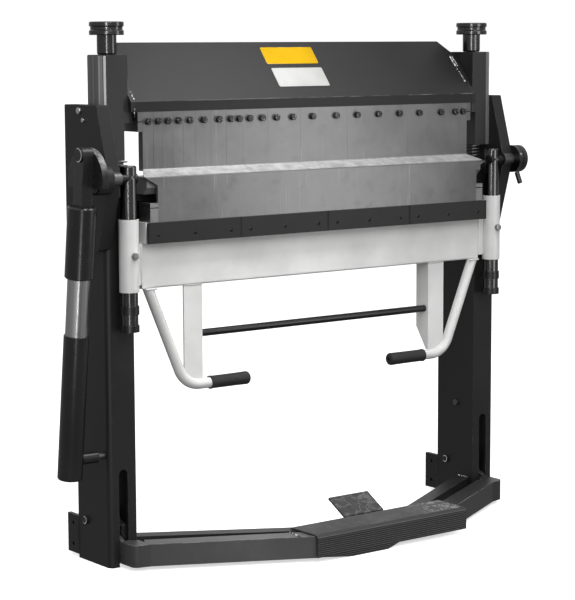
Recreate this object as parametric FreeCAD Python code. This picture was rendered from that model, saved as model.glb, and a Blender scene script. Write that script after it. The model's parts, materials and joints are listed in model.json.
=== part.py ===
import FreeCAD, Part
import math
import os

from FreeCAD import Vector

# A foot-operated box and pan brake that stands on the floor.
# X runs along the bending line, Y runs from the operator to the back, Z is up.
# Every number is in millimetres. Y is 0 at the bending line and Z is 0 on the floor.

# Bending line and working length
working_length = 1020.0
bend_height = 925.0
segment_height = 150.0
sheet_gap = 0.3
leaf_gap = 1.0
body_gap = 0.3
running_clearance = 0.05
half_length = working_length / 2
lip_height = bend_height + segment_height

# How far the long pieces stand out past the working length, at each end
beam_overhang = 20.0
blade_overhang = 15.0
rail_overhang = 13.0
apron_overhang = 22.0
strip_overhang = 23.0
end_plate_thickness = 11.0
beam_half_length = half_length + beam_overhang
blade_half_length = half_length + blade_overhang
rail_half_length = half_length + rail_overhang
apron_half_length = half_length + apron_overhang
strip_half_length = half_length + strip_overhang

# Columns: folded plate, open at the back
column_inner_x = beam_half_length + end_plate_thickness
column_width = 74.0
column_plate = 10.0
column_front_y = 39.5
column_depth = 142.0
column_drop = 45.0
column_corner_radius = 14.0
slot_width = 25.0
slot_inset = 35.5
slot_top = 235.0
column_top = bend_height - column_drop
column_outer_x = column_inner_x + column_width
column_rear_y = column_front_y + column_depth
slot_centre_x = column_inner_x + slot_inset

# Cheek plates that carry the bending shafts and guide the clamping beam
cheek_inset = 60.0
cheek_thickness = 33.0
cheek_rise = 18.0
cheek_drop = 169.0
cheek_front_y = -7.5
cheek_top_front_y = 41.0
cheek_corner_radius = 6.0
cheek_inner_x = column_inner_x + cheek_inset
cheek_outer_x = cheek_inner_x + cheek_thickness
cheek_top = lip_height + cheek_rise
cheek_bottom = bend_height - cheek_drop

# Floor lugs with two bolt holes each, at the back of the columns
lug_thickness = 8.0
lug_height = 95.0
lug_bottom = 8.0
lug_reach = 50.0
lug_hole_radius = 5.5
lug_hole_spacing = 52.0
lug_hole_low = 29.0
lug_hole_inset = 24.0
lug_rear_y = column_rear_y + lug_reach

# Bed that carries the lower blade
bed_front_y = 75.0
bed_drop = 225.0
bed_wall = 10.0
bed_nose_y = 42.0
bed_nose_height = 16.0
bed_rear_rise = 60.0
blade_thickness = 40.0
blade_depth = 80.0
edge_setback = 0.5
bed_bottom = bend_height - bed_drop
blade_top = bend_height - sheet_gap
blade_bottom = blade_top - blade_thickness

# Clamping beam
beam_lip_height = 24.0
beam_slope_height = 137.0
beam_slope_depth = 110.0
beam_rear_depth = 37.5
beam_rear_height = 106.0
beam_floor_depth = 66.0
beam_wall = 8.0
beam_corner_cut = 29.0
beam_lift = 45.0
end_plate_rise = 133.0
end_plate_drop = 25.0
end_plate_top = lip_height + end_plate_rise
end_plate_bottom = lip_height - end_plate_drop

# Slide blocks at the ends of the clamping beam
block_front_y = 51.0
block_depth = 80.0
block_rise = 38.0
block_neck = 11.0
block_chamfer = 4.0
spindle_inset = 31.0
block_bottom = bend_height + block_rise
block_outer_x = cheek_inner_x - body_gap
spindle_axis_x = column_inner_x + spindle_inset

# Adjusting knobs on the slide blocks
knob_axis_y = 90.5
knob_radius = 40.7
knob_height = 34.0
knob_groove_depth = 9.0
knob_flange = 11.0
stem_radius = 23.2
stem_height = 42.0
neck_radius = 17.0
neck_height = 7.0
screw_radius = 12.0
screw_length = 70.0

# Goat-foot segments: each width in shares of the row, from left to right
segment_gap = 0.3
segment_shares = [6, 5, 6, 6, 7, 9, 9, 10, 15, 20, 30, 40, 30, 5, 6]
segment_front_y = 38.5
segment_thickness = 18.5
foot_tip = 0.8
foot_rise = 15.4
foot_underside = 26.0
foot_relief = 12.0
horn_reach = 22.0
segment_bolt_drop = 22.0
bolt_radius = 5.0
bolt_head_radius = 6.5
bolt_head_height = 8.0
share_width = working_length / sum(segment_shares)

# Rail that the segments are bolted to
rail_height = 46.0
rail_depth = 40.0
rail_lug_depth = 21.0
rail_slit = 2.0

# Pedal frame
pedal_axle_y = 145.5
pedal_axle_z = 100.0
pedal_axle_radius = 10.0
pedal_lever = 80.0
link_pin_radius = 6.0
arm_thickness = 10.5
arm_gap = 1.5
arm_hub_radius = 24.0
bar_bottom = 10.0
bar_top = 63.2
bar_wall = 5.0
bar_width = 48.0
bar_elbow_inset = 5.0
bar_elbow_radius = 16.0
tread_left_x = -197.0
tread_right_x = 281.0
tread_front_y = -222.0
tread_depth = 108.0
tread_height = 54.0
tread_top = 66.5
tread_thickness = 3.0
tread_round = 9.0
tread_rib_pitch = 5.0
tread_rib_depth = 1.2
tread_rib_count = 8
inner_rail_width = 38.0
inner_rail_gap = 4.0
inner_rail_back_y = -114.0
link_width = 40.0
link_inset = 45.0
toe_plate_left_x = -24.0
toe_plate_width = 125.0
toe_plate_depth = 73.0
toe_plate_thickness = 6.0
toe_plate_tilt = 29.4
toe_plate_front_y = -107.0
toe_plate_front_z = 63.0
toe_rib_width = 60.0
toe_rib_depth = 36.0
arm_outer_x = slot_centre_x + slot_width / 2 - arm_gap
bar_elbow_x = column_inner_x + bar_elbow_inset
inner_rail_reach = column_inner_x - inner_rail_gap
cross_bar_y = tread_front_y + tread_round + bar_width / 2
cross_rail_y = inner_rail_back_y - inner_rail_width / 2

# Middle lines of the slanting pedal bars in plan, from beside the column to beside the tread
bar_line_inset = 19.0
left_bar_rear_y = 3.0
left_bar_front_y = -180.0
right_bar_rear_y = -2.0
right_bar_front_y = -153.0
left_rail_rear_y = 94.0
left_rail_front_y = -114.0
right_rail_rear_y = 88.0
right_rail_front_y = -71.0
left_line_end_x = tread_left_x - 3.0
right_line_end_x = tread_right_x - 1.0
bar_line_x = column_inner_x + bar_line_inset
bar_lines = {
    -1: ((-bar_line_x, left_bar_rear_y), (left_line_end_x, left_bar_front_y)),
    1: ((bar_line_x, right_bar_rear_y), (right_line_end_x, right_bar_front_y)),
}
rail_lines = {
    -1: ((-bar_line_x, left_rail_rear_y), (left_line_end_x, left_rail_front_y)),
    1: ((bar_line_x, right_rail_rear_y), (right_line_end_x, right_rail_front_y)),
}

# Pull bars from the slide blocks down to the pedal
pull_bar_gap = 2.0
pull_bar_thickness = 12.0
pull_bar_front_y = 85.0
pull_bar_width = 40.0
pull_bar_foot_front = 52.0
pull_bar_foot_height = 42.0
guide_pin_y = 105.5
guide_pin_z = 262.0
guide_pin_radius = 8.0
bar_slot_clearance = 0.6
pull_bar_x = arm_outer_x - arm_thickness - pull_bar_gap - pull_bar_thickness / 2
pedal_start = math.asin(beam_lift / 2 / pedal_lever)
link_pin_y = pedal_axle_y - pedal_lever * math.cos(pedal_start)
link_pin_z = pedal_axle_z - pedal_lever * math.sin(pedal_start)

# Bending beam (apron), hung from the bending line
apron_front_y = 15.0
apron_depth = 52.0
apron_drop = 154.0
apron_height = 108.0
apron_wall = 7.0
ledge_height = 49.0
ledge_depth = 38.5
joint_plate = 12.0
height_travel = 28.0
apron_top = bend_height - apron_drop
apron_bottom = apron_top - apron_height
ledge_top = apron_top + ledge_height

# Sleeves that slide on the spindles
sleeve_radius = 23.5
sleeve_length = 170.0
sleeve_overlap = 3.0
sleeve_bottom = apron_bottom - sleeve_overlap
sleeve_top = sleeve_bottom + sleeve_length

# Bending shafts and spindles
spindle_radius = 20.0
spindle_y = 8.0
spindle_over = 29.0
spindle_tail = 61.0
spindle_chamfer = 3.0
shaft_radius = 11.0
shaft_cover = 6.0
bush_wall = 5.0
collar_radius = 22.5
collar_gap = 4.0
collar_height = 20.0
end_nut_height = 16.0
collar_top = sleeve_bottom - height_travel - collar_gap
spindle_top = bend_height + spindle_over
spindle_bottom = collar_top - spindle_tail

# Leaf of the bending beam, its rail and its clamp strips
leaf_thickness = 9.0
leaf_inset = 8.5
leaf_lap = 5.0
leaf_horn_drop = 18.0
leaf_rail_height = 45.0
leaf_rail_slit_drop = 11.0
strip_count = 4
strip_thickness = 5.0
strip_height = 49.0
strip_screw_margin = 29.25
strip_screw_radius = 4.5
strip_screw_head = 2.5
leaf_half_length = half_length - leaf_inset
leaf_horn_reach = leaf_inset + horn_reach
leaf_bottom = apron_top + leaf_lap
leaf_rail_top = ledge_top + leaf_rail_height

# Handles below the bending beam
handle_y = 18.0
handle_radius = 13.0
handle_wall = 3.0
handle_inset = 18.0
handle_splay = 102.0
handle_drop = 241.0
handle_bend_radius = 62.0
grip_setback = 71.0
grip_length = 116.0
grip_radius = 16.5
grip_cap = 12.0
upright_setback = 52.5
upright_width = 53.0
upright_front_y = 18.0
upright_depth = 47.0
upright_plate = 5.0
upright_cut_rise = 70.0
cross_rod_y = 34.0
cross_rod_rise = 120.0
cross_rod_radius = 9.0
handle_top_x = apron_half_length - handle_inset
handle_bend_x = handle_top_x - handle_splay
handle_z = apron_bottom - handle_drop
grip_outer_x = handle_bend_x - grip_setback
grip_inner_x = grip_outer_x - grip_length
upright_inner_x = handle_bend_x - upright_setback
upright_cut_z = handle_z + upright_cut_rise
cross_rod_z = handle_z + cross_rod_rise

# Angle stop on the right shaft
boss_radius = 35.0
ring_length = 33.0
ring_flange_length = 13.5
ring_groove_radius = 30.0
ring_groove_length = 3.0
ring_radius = 36.0
ring_round = 4.0
clamp_screw_radius = 6.5
clamp_screw_length = 34.0
clamp_screw_angle = 25.0
clamp_shank = 3.5
ring_start_x = cheek_outer_x + body_gap
ring_end_x = cheek_outer_x + ring_length

# Balance strut on the left
strut_foot_y = 62.5
strut_foot_drop = 655.0
strut_pin_y = -21.5
strut_pin_rise = 60.0
lower_tube_radius = 29.5
lower_tube_bottom = -45.0
lower_tube_top = 301.0
rod_tube_radius = 26.5
rod_tube_bottom = 112.0
sleeve_tube_length = 167.0
sleeve_head_gap = 117.9
sleeve_tube_radius = 33.5
strut_wall = 3.0
strut_head_width = 28.0
strut_head_depth = 36.0
strut_head_over = 18.0
strut_bolt_radius = 9.0
strut_ring_radius = 16.5
strut_ring_height = 4.0
foot_boss_radius = 14.0
foot_boss_length = 41.0
foot_pin_radius = 7.5
crank_thickness = 16.0
crank_gap = 3.7
crank_radius = 75.0
crank_hub_radius = 34.0
left_boss_length = 38.0
crank_outer_x = -(cheek_outer_x + left_boss_length + crank_gap + crank_thickness)
strut_x = crank_outer_x - body_gap - strut_head_width / 2
strut_foot_z = bend_height - strut_foot_drop
strut_pin_z = bend_height + strut_pin_rise
strut_tilt = math.degrees(math.atan2(strut_foot_y - strut_pin_y, strut_pin_z - strut_foot_z))
strut_length = math.hypot(strut_foot_y - strut_pin_y, strut_pin_z - strut_foot_z)
sleeve_tube_top = strut_length - sleeve_head_gap
sleeve_tube_bottom = sleeve_tube_top - sleeve_tube_length
strut_reach_x = strut_x - sleeve_tube_radius

# Springs that raise the clamping beam, on seats on the column tops
spring_inset = 16.0
spring_y = 65.0
spring_seat_width = 36.0
spring_seat_depth = 38.0
spring_seat_height = 25.0
spring_radius = 17.0
spring_wire = 1.6
spring_wire_sides = 8
spring_turns = 7
spring_pin_radius = 9.0
spring_pin_gap = 6.0
spring_x = column_inner_x + spring_inset
spring_seat_z = column_top + spring_seat_height

shapes = {}


# Small helpers for the plain forms

def block(x0, x1, y0, y1, z0, z1):
    size = (abs(x1 - x0), abs(y1 - y0), abs(z1 - z0))
    corner = Vector(min(x0, x1), min(y0, y1), min(z0, z1))
    return Part.makeBox(size[0], size[1], size[2], corner)


def rod_x(x0, x1, y, z, radius):
    return Part.makeCylinder(radius, abs(x1 - x0), Vector(min(x0, x1), y, z), Vector(1, 0, 0))


def rod_y(x, y0, y1, z, radius):
    return Part.makeCylinder(radius, abs(y1 - y0), Vector(x, min(y0, y1), z), Vector(0, 1, 0))


def rod_z(x, y, z0, z1, radius):
    return Part.makeCylinder(radius, abs(z1 - z0), Vector(x, y, min(z0, z1)), Vector(0, 0, 1))


def rounded_wire(corners, place):
    """A closed outline; a corner's third number rounds it to that radius."""
    count = len(corners)
    edges = []
    starts = []
    ends = []
    for i, corner in enumerate(corners):
        here = Vector(corner[0], corner[1], 0)
        before = Vector(corners[i - 1][0], corners[i - 1][1], 0)
        after = Vector(corners[(i + 1) % count][0], corners[(i + 1) % count][1], 0)
        radius = corner[2] if len(corner) > 2 else 0.0
        if radius == 0:
            starts.append(here)
            ends.append(here)
            continue
        back = (before - here).normalize()
        ahead = (after - here).normalize()
        half = back.getAngle(ahead) / 2
        reach = radius / math.tan(half)
        middle = (back + ahead).normalize()
        centre = here + middle * (radius / math.sin(half))
        first = here + back * reach
        last = here + ahead * reach
        top = centre - middle * radius
        edges.append(Part.Arc(place(first), place(top), place(last)).toShape())
        starts.append(first)
        ends.append(last)
    for i in range(count):
        a = ends[i]
        b = starts[(i + 1) % count]
        if (b - a).Length > 1e-6:
            edges.append(Part.LineSegment(place(a), place(b)).toShape())
    return Part.Wire(Part.__sortEdges__(edges))


def prism_x(corners, x0, x1):
    """An outline in Y and Z, drawn out along X."""
    low = min(x0, x1)
    wire = rounded_wire(corners, lambda v: Vector(low, v.x, v.y))
    return Part.Face(wire).extrude(Vector(abs(x1 - x0), 0, 0))


def prism_y(corners, y0, y1):
    """An outline in X and Z, drawn out along Y."""
    low = min(y0, y1)
    wire = rounded_wire(corners, lambda v: Vector(v.x, low, v.y))
    return Part.Face(wire).extrude(Vector(0, abs(y1 - y0), 0))


def prism_z(corners, z0, z1):
    """An outline in X and Y, drawn out along Z."""
    wire = rounded_wire(corners, lambda v: Vector(v.x, v.y, z0))
    return Part.Face(wire).extrude(Vector(0, 0, z1 - z0))


def mirrored(shape):
    return shape.mirror(Vector(0, 0, 0), Vector(1, 0, 0))


def pair(shape):
    return Part.makeCompound([mirrored(shape), shape])


def turned_z(radii_heights, x, y):
    """A turned piece about a vertical axis, from (radius, height) corners."""
    points = [Vector(x + r, y, z) for r, z in radii_heights]
    face = Part.Face(Part.makePolygon(points + [points[0]]))
    return face.revolve(Vector(x, y, 0), Vector(0, 0, 1), 360)


def turned_x(lengths_radii, y, z):
    """A turned piece about an axis along X, from (X, radius) corners."""
    points = [Vector(x, y, z + r) for x, r in lengths_radii]
    face = Part.Face(Part.makePolygon(points + [points[0]]))
    return face.revolve(Vector(0, y, z), Vector(1, 0, 0), 360)


def plan_bar(start, end, width, z0, z1):
    """A flat-sided bar between two points of the floor plan."""
    along = Vector(end[0] - start[0], end[1] - start[1], 0)
    side = Vector(-along.y, along.x, 0).normalize() * (width / 2)
    a = Vector(start[0], start[1], z0)
    b = Vector(end[0], end[1], z0)
    outline = Part.makePolygon([a - side, b - side, b + side, a + side, a - side])
    return Part.Face(outline).extrude(Vector(0, 0, z1 - z0))


def arc_middle(start, corner, end):
    """The middle of the arc that leaves start and reaches end, tangent to both lines to corner."""
    chord = (start + end) * 0.5
    height = (corner - chord).Length
    reach = (corner - start).Length
    half_chord = (start - chord).Length
    radius = half_chord * reach / height
    sagitta = radius * (1 - math.sqrt(max(0.0, 1 - (height / reach) ** 2)))
    return chord + (corner - chord).normalize() * sagitta


def biarc(p0, t0, p1, t1):
    """Two arcs from p0 to p1 that follow the directions t0 and t1."""
    v = p1 - p0
    t = t0 + t1
    k = 2 * (1 - t0.dot(t1))
    vt = v.dot(t)
    d = (-vt + math.sqrt(vt * vt + k * v.dot(v))) / k
    middle = (p0 + p1) * 0.5 + (t0 - t1) * (d / 2)
    first = Part.Arc(p0, arc_middle(p0, p0 + t0 * d, middle), middle).toShape()
    second = Part.Arc(middle, arc_middle(middle, p1 - t1 * d, p1), p1).toShape()
    return [first, second]


# Columns, cheeks, floor lugs and bed

cheek_outline = [
    (cheek_top_front_y, cheek_top, 3.0),
    (cheek_front_y, bend_height, cheek_corner_radius),
    (column_front_y, cheek_bottom, 8.0),
    (column_rear_y, cheek_bottom),
    (column_rear_y, cheek_top, 3.0),
]


def make_column():
    outside = [
        (column_inner_x, column_front_y),
        (column_outer_x, column_front_y, column_corner_radius),
        (column_outer_x, column_rear_y),
        (column_inner_x, column_rear_y),
    ]
    hollow = [
        (column_inner_x + column_plate, column_front_y + column_plate),
        (column_outer_x - column_plate, column_front_y + column_plate, column_corner_radius - column_plate),
        (column_outer_x - column_plate, column_rear_y + 1),
        (column_inner_x + column_plate, column_rear_y + 1),
    ]
    shell = prism_z(outside, 0, column_top).cut(prism_z(hollow, -1, column_top + 1))
    recess_x = min(cheek_inner_x, column_outer_x - column_plate)
    shell = shell.cut(prism_x(cheek_outline, recess_x, column_outer_x + 1))
    shell = shell.cut(block(recess_x, column_outer_x + 1, column_front_y - 1, column_rear_y + 1,
                            cheek_bottom + 0.6 * cheek_drop, column_top + 1))
    r = slot_width / 2
    slot = [
        (slot_centre_x - r, -1),
        (slot_centre_x + r, -1),
        (slot_centre_x + r, slot_top, r - 0.01),
        (slot_centre_x - r, slot_top, r - 0.01),
    ]
    shell = shell.cut(prism_y(slot, column_front_y - 1, column_front_y + column_plate + 1))
    reach = column_width + 20
    for y, z, radius in (
        (pedal_axle_y, pedal_axle_z, pedal_axle_radius),
        (guide_pin_y, guide_pin_z, guide_pin_radius),
    ):
        shell = shell.cut(rod_x(column_inner_x - 10, column_inner_x - 10 + reach, y, z, radius))
    return shell


def make_cheek():
    plate = prism_x(cheek_outline, cheek_inner_x, cheek_outer_x)
    bore = rod_x(cheek_inner_x - 1, cheek_outer_x + 1, 0, bend_height, shaft_radius + bush_wall)
    return plate.cut(bore)


def make_boss(length):
    """The bearing boss outside a cheek, with its bore."""
    ring = rod_x(cheek_outer_x, cheek_outer_x + length, 0, bend_height, boss_radius)
    return ring.cut(rod_x(cheek_outer_x - 1, cheek_outer_x + length + 1, 0, bend_height,
                          shaft_radius + running_clearance))


def make_bush():
    ring = rod_x(cheek_inner_x, cheek_outer_x, 0, bend_height, shaft_radius + bush_wall)
    return ring.cut(rod_x(cheek_inner_x - 1, cheek_outer_x + 1, 0, bend_height,
                          shaft_radius + running_clearance))


def make_floor_lug():
    """The two column walls carried on at the back as drilled ears, with a web across them."""
    inner = column_inner_x
    outer = column_outer_x
    top = lug_bottom + lug_height
    bracket = block(inner, outer, column_rear_y + body_gap, lug_rear_y, lug_bottom, top)
    bracket = bracket.cut(block(inner + column_plate, outer - column_plate,
                                column_rear_y + body_gap + lug_thickness, lug_rear_y + 1,
                                lug_bottom - 1, top + 1))
    for step in (0, 1):
        z = lug_hole_low + step * lug_hole_spacing
        bracket = bracket.cut(rod_x(inner - 1, outer + 1, lug_rear_y - lug_hole_inset, z, lug_hole_radius))
    return bracket


def make_bed():
    top = blade_bottom
    outline = [
        (bed_nose_y, top),
        (column_rear_y, top),
        (column_rear_y, bed_bottom + bed_rear_rise),
        (column_rear_y - 50, bed_bottom, 10.0),
        (bed_front_y, bed_bottom, 10.0),
        (bed_front_y, top - bed_nose_height - 24),
        (bed_nose_y, top - bed_nose_height),
    ]
    w = bed_wall
    inside = [
        (bed_front_y + w, top - w),
        (column_rear_y - w, top - w),
        (column_rear_y - w, bed_bottom + bed_rear_rise + w * 0.5),
        (column_rear_y - 50 - w * 0.4, bed_bottom + w, 5.0),
        (bed_front_y + w, bed_bottom + w, 5.0),
    ]
    shell = prism_x(outline, -column_inner_x, column_inner_x)
    return shell.cut(prism_x(inside, -column_inner_x - 1, column_inner_x + 1))


def make_blade():
    outline = [
        (edge_setback, blade_top),
        (blade_depth, blade_top, 2.0),
        (blade_depth, blade_bottom),
        (bed_nose_y, blade_bottom),
        (edge_setback + 14, blade_bottom),
        (edge_setback, blade_bottom + 16),
    ]
    return prism_x(outline, -blade_half_length, blade_half_length)


column = make_column()
cheek = make_cheek()
left_boss = mirrored(make_boss(left_boss_length))
shapes["left_column"] = mirrored(column)
shapes["right_column"] = column
shapes["left_cheek"] = mirrored(cheek).fuse(left_boss).removeSplitter()
shapes["right_cheek"] = cheek
shapes["shaft_bushes"] = pair(make_bush())
shapes["floor_lugs"] = pair(make_floor_lug())
shapes["bed_beam"] = make_bed()
shapes["lower_blade"] = make_blade()

axle_head = 6.0
axle = rod_x(column_inner_x - axle_head, column_outer_x + axle_head, pedal_axle_y, pedal_axle_z,
             pedal_axle_radius)
shapes["pedal_axles"] = pair(axle)
guide_pin = rod_x(column_inner_x - axle_head, column_outer_x, guide_pin_y, guide_pin_z, guide_pin_radius)
shapes["guide_pins"] = pair(guide_pin)


# Clamping beam

beam_y0 = segment_front_y
beam_top = lip_height + beam_lip_height + beam_slope_height
beam_top_y = beam_y0 + beam_slope_depth
beam_rear_y = beam_top_y + beam_rear_depth
beam_floor_y = beam_y0 + beam_floor_depth


def make_beam_shell():
    outline = [
        (beam_y0, lip_height),
        (beam_y0, lip_height + beam_lip_height, 4.0),
        (beam_top_y, beam_top, 5.0),
        (beam_rear_y, beam_top, 5.0),
        (beam_rear_y, beam_top - beam_rear_height, 5.0),
        (beam_floor_y, lip_height, 5.0),
    ]
    w = beam_wall
    slope = math.atan2(beam_slope_height, beam_slope_depth)
    lean = w / math.sin(slope)
    inside = [
        (beam_y0 + w, lip_height + w),
        (beam_y0 + w, lip_height + beam_lip_height - w * 0.2),
        (beam_top_y + lean * 0.45, beam_top - w),
        (beam_rear_y - w, beam_top - w),
        (beam_rear_y - w, beam_top - beam_rear_height + w * 0.5),
        (beam_floor_y - w * 0.4, lip_height + w),
    ]
    shell = prism_x(outline, -beam_half_length, beam_half_length)
    shell = shell.cut(prism_x(inside, -beam_half_length - 1, beam_half_length + 1))
    for side in (-1, 1):
        corner = [
            (side * (beam_half_length + 1), beam_top - beam_corner_cut - 1),
            (side * (beam_half_length + 1), beam_top + 1),
            (side * (beam_half_length - beam_corner_cut - 1), beam_top + 1),
        ]
        shell = shell.cut(prism_y(corner, beam_y0, beam_rear_y + 1))
    return shell


def make_end_plate():
    slope_y = (end_plate_top - lip_height - beam_lip_height) * beam_slope_depth / beam_slope_height
    outline = [
        (block_front_y, end_plate_bottom),
        (block_front_y, lip_height),
        (beam_y0, lip_height),
        (beam_y0, lip_height + beam_lip_height),
        (beam_y0 + slope_y, end_plate_top),
        (beam_rear_y, end_plate_top, 6.0),
        (beam_rear_y, beam_top - beam_rear_height, 6.0),
        (block_front_y + block_depth, end_plate_bottom, 6.0),
    ]
    return prism_x(outline, beam_half_length, beam_half_length + end_plate_thickness)


def make_slide_block():
    inner = beam_half_length + end_plate_thickness
    y1 = block_front_y + block_depth
    outline = [
        (inner, end_plate_bottom),
        (inner + block_neck, end_plate_bottom),
        (inner + block_neck, block_bottom),
        (block_outer_x, block_bottom),
        (block_outer_x, end_plate_top, block_chamfer),
        (inner, end_plate_top),
    ]
    body = prism_y(outline, block_front_y, y1)
    screw_bottom = end_plate_top - screw_length
    return body.cut(rod_z(spindle_axis_x, knob_axis_y, screw_bottom - 2, end_plate_top + 1,
                          screw_radius + running_clearance))


def make_upper_rail():
    back = beam_y0 + segment_thickness
    bottom = lip_height - rail_height
    rail = block(-rail_half_length, rail_half_length, back, back + rail_depth, bottom, lip_height)
    half = half_length
    for side in (-1, 1):
        lug = block(side * half, side * rail_half_length, beam_y0, back, bottom, lip_height)
        slit_z = lip_height - rail_height / 2
        slit = block(side * (half - 1), side * (rail_half_length + 1), beam_y0 - 1,
                     beam_y0 + rail_lug_depth, slit_z - rail_slit / 2, slit_z + rail_slit / 2)
        rail = rail.fuse(lug).cut(slit)
    return rail.removeSplitter()


def bolt_places(shares, left):
    """Bolt centres of one segment along X: one, two or three, as its width calls for."""
    width = shares * share_width
    middle = left + width / 2
    if shares < 10:
        return [middle]
    if shares >= 40:
        return [middle - width * 0.35, middle, middle + width * 0.35]
    return [middle - width * 0.25, middle + width * 0.25]


def make_segment(shares, left):
    width = shares * share_width
    back = segment_front_y + segment_thickness
    nose = bend_height
    outline = [
        (edge_setback, nose),
        (foot_underside, nose),
        (foot_underside + foot_relief, nose + foot_relief),
        (back, nose + foot_relief, 3.0),
        (back, lip_height),
        (segment_front_y, lip_height),
        (segment_front_y, nose + foot_rise, 4.0),
        (edge_setback, nose + foot_tip),
    ]
    piece = prism_x(outline, left + segment_gap / 2, left + width - segment_gap / 2)
    for x in bolt_places(shares, left):
        z = lip_height - segment_bolt_drop
        piece = piece.cut(rod_y(x, segment_front_y - 1, back + 1, z, bolt_radius))
    return piece


def make_horn(side):
    """The flared outer corner of the foot on an end segment."""
    edge = side * (half_length - segment_gap / 2)
    tip = side * (half_length + horn_reach)
    low = [Vector(edge, edge_setback, bend_height), Vector(tip, edge_setback, bend_height),
           Vector(edge, segment_front_y, bend_height)]
    rise = [foot_tip, foot_tip, foot_rise]
    high = [v + Vector(0, 0, h) for v, h in zip(low, rise)]
    faces = [
        Part.Face(Part.makePolygon(low + [low[0]])),
        Part.Face(Part.makePolygon(high + [high[0]])),
    ]
    for a, b in ((0, 1), (1, 2), (2, 0)):
        faces.append(Part.Face(Part.makePolygon([low[a], low[b], high[b], high[a], low[a]])))
    horn = Part.makeSolid(Part.makeShell(faces))
    if horn.Volume < 0:
        horn.reverse()
    return horn


shapes["beam_shell"] = make_beam_shell()
shapes["beam_end_plates"] = pair(make_end_plate())
shapes["slide_blocks"] = pair(make_slide_block())
shapes["upper_rail"] = make_upper_rail()

bolts = []
groups = {}
left = -half_length
last = len(segment_shares) - 1
for index, shares in enumerate(segment_shares):
    segment = make_segment(shares, left)
    group = "segments_%d" % (5 * shares)
    if index in (0, last):
        group = "segments_end"
        segment = segment.fuse(make_horn(-1 if index == 0 else 1)).removeSplitter()
    groups.setdefault(group, []).append(segment)
    for x in bolt_places(shares, left):
        z = lip_height - segment_bolt_drop
        shank = rod_y(x, segment_front_y, segment_front_y + segment_thickness, z, bolt_radius)
        head = rod_y(x, segment_front_y - bolt_head_height, segment_front_y, z, bolt_head_radius)
        bolts.append(shank.fuse(head).removeSplitter())
    left += shares * share_width
for group, members in groups.items():
    shapes[group] = members[0] if len(members) == 1 else Part.makeCompound(members)
shapes["segment_bolts"] = Part.makeCompound(bolts)


def make_pull_bar():
    x0 = pull_bar_x - pull_bar_thickness / 2
    x1 = pull_bar_x + pull_bar_thickness / 2
    back = pull_bar_front_y + pull_bar_width
    foot_low = link_pin_z - pull_bar_foot_height / 2
    foot_high = link_pin_z + pull_bar_foot_height / 2
    outline = [
        (pull_bar_foot_front, foot_low, 8.0),
        (back - 18, foot_low, 8.0),
        (back, foot_high + 20, 6.0),
        (back, block_bottom),
        (pull_bar_front_y, block_bottom),
        (pull_bar_front_y, foot_high + 14, 8.0),
        (pull_bar_foot_front, foot_high, 8.0),
    ]
    bar = prism_x(outline, x0, x1)
    r = guide_pin_radius + bar_slot_clearance
    slot = block(x0 - 1, x1 + 1, guide_pin_y - r, guide_pin_y + r, guide_pin_z - beam_lift, guide_pin_z)
    slot = slot.fuse(rod_x(x0 - 1, x1 + 1, guide_pin_y, guide_pin_z - beam_lift, r))
    slot = slot.fuse(rod_x(x0 - 1, x1 + 1, guide_pin_y, guide_pin_z, r))
    link_r = link_pin_radius + bar_slot_clearance / 2
    travel = pedal_lever * (1 - math.cos(pedal_start))
    link = rod_x(x0 - 1, x1 + 1, link_pin_y, link_pin_z, link_r)
    link = link.fuse(rod_x(x0 - 1, x1 + 1, link_pin_y - travel, link_pin_z, link_r))
    link = link.fuse(block(x0 - 1, x1 + 1, link_pin_y - travel, link_pin_y, link_pin_z - link_r,
                           link_pin_z + link_r))
    return bar.cut(slot).cut(link)


shapes["pull_bars"] = pair(make_pull_bar())


def make_knob():
    z0 = end_plate_top + body_gap
    stem_top = z0 + stem_height
    top = stem_top + knob_height
    low = stem_top + knob_flange
    high = top - knob_flange
    groove = knob_radius - knob_groove_depth
    profile = [
        (0, z0 - screw_length),
        (screw_radius, z0 - screw_length),
        (screw_radius, z0),
        (stem_radius, z0),
        (stem_radius, stem_top - neck_height),
        (neck_radius, stem_top - neck_height),
        (neck_radius, stem_top),
        (knob_radius - 1.5, stem_top),
        (knob_radius, stem_top + 1.5),
        (knob_radius, low),
        (groove, low),
        (groove, high),
        (knob_radius, high),
        (knob_radius, top - 2),
        (knob_radius - 2, top),
        (0, top),
    ]
    return turned_z(profile, spindle_axis_x, knob_axis_y)


knob = make_knob()
shapes["left_knob"] = mirrored(knob)
shapes["right_knob"] = knob


# Lifting springs under the slide blocks

def make_spring():
    z0 = spring_seat_z
    z1 = block_bottom
    rise = (z1 - z0) / spring_turns
    steps = spring_turns * 4
    points = []
    headings = []
    for i in range(steps + 1):
        angle = i * math.pi / 2
        points.append(Vector(spring_x + spring_radius * math.cos(angle),
                             spring_y + spring_radius * math.sin(angle), z0 + rise * i / 4))
        headings.append(Vector(-spring_radius * math.sin(angle), spring_radius * math.cos(angle),
                               rise / (2 * math.pi)).normalize())
    edges = []
    for i in range(steps):
        edges += biarc(points[i], headings[i], points[i + 1], headings[i + 1])
    out = Vector(1, 0, 0)
    across = headings[0].cross(out)
    corners = []
    for i in range(spring_wire_sides + 1):
        angle = 2 * math.pi * i / spring_wire_sides
        corners.append(points[0] + (out * math.cos(angle) + across * math.sin(angle)) * spring_wire)
    coil = Part.Wire(edges).makePipeShell([Part.makePolygon(corners)], True, False)
    print("spring gap between turns", round(rise - 2 * spring_wire, 2), "valid", coil.isValid())
    keep = spring_radius + spring_wire + 2
    return coil.common(block(spring_x - keep, spring_x + keep, spring_y - keep, spring_y + keep, z0, z1))


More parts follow.
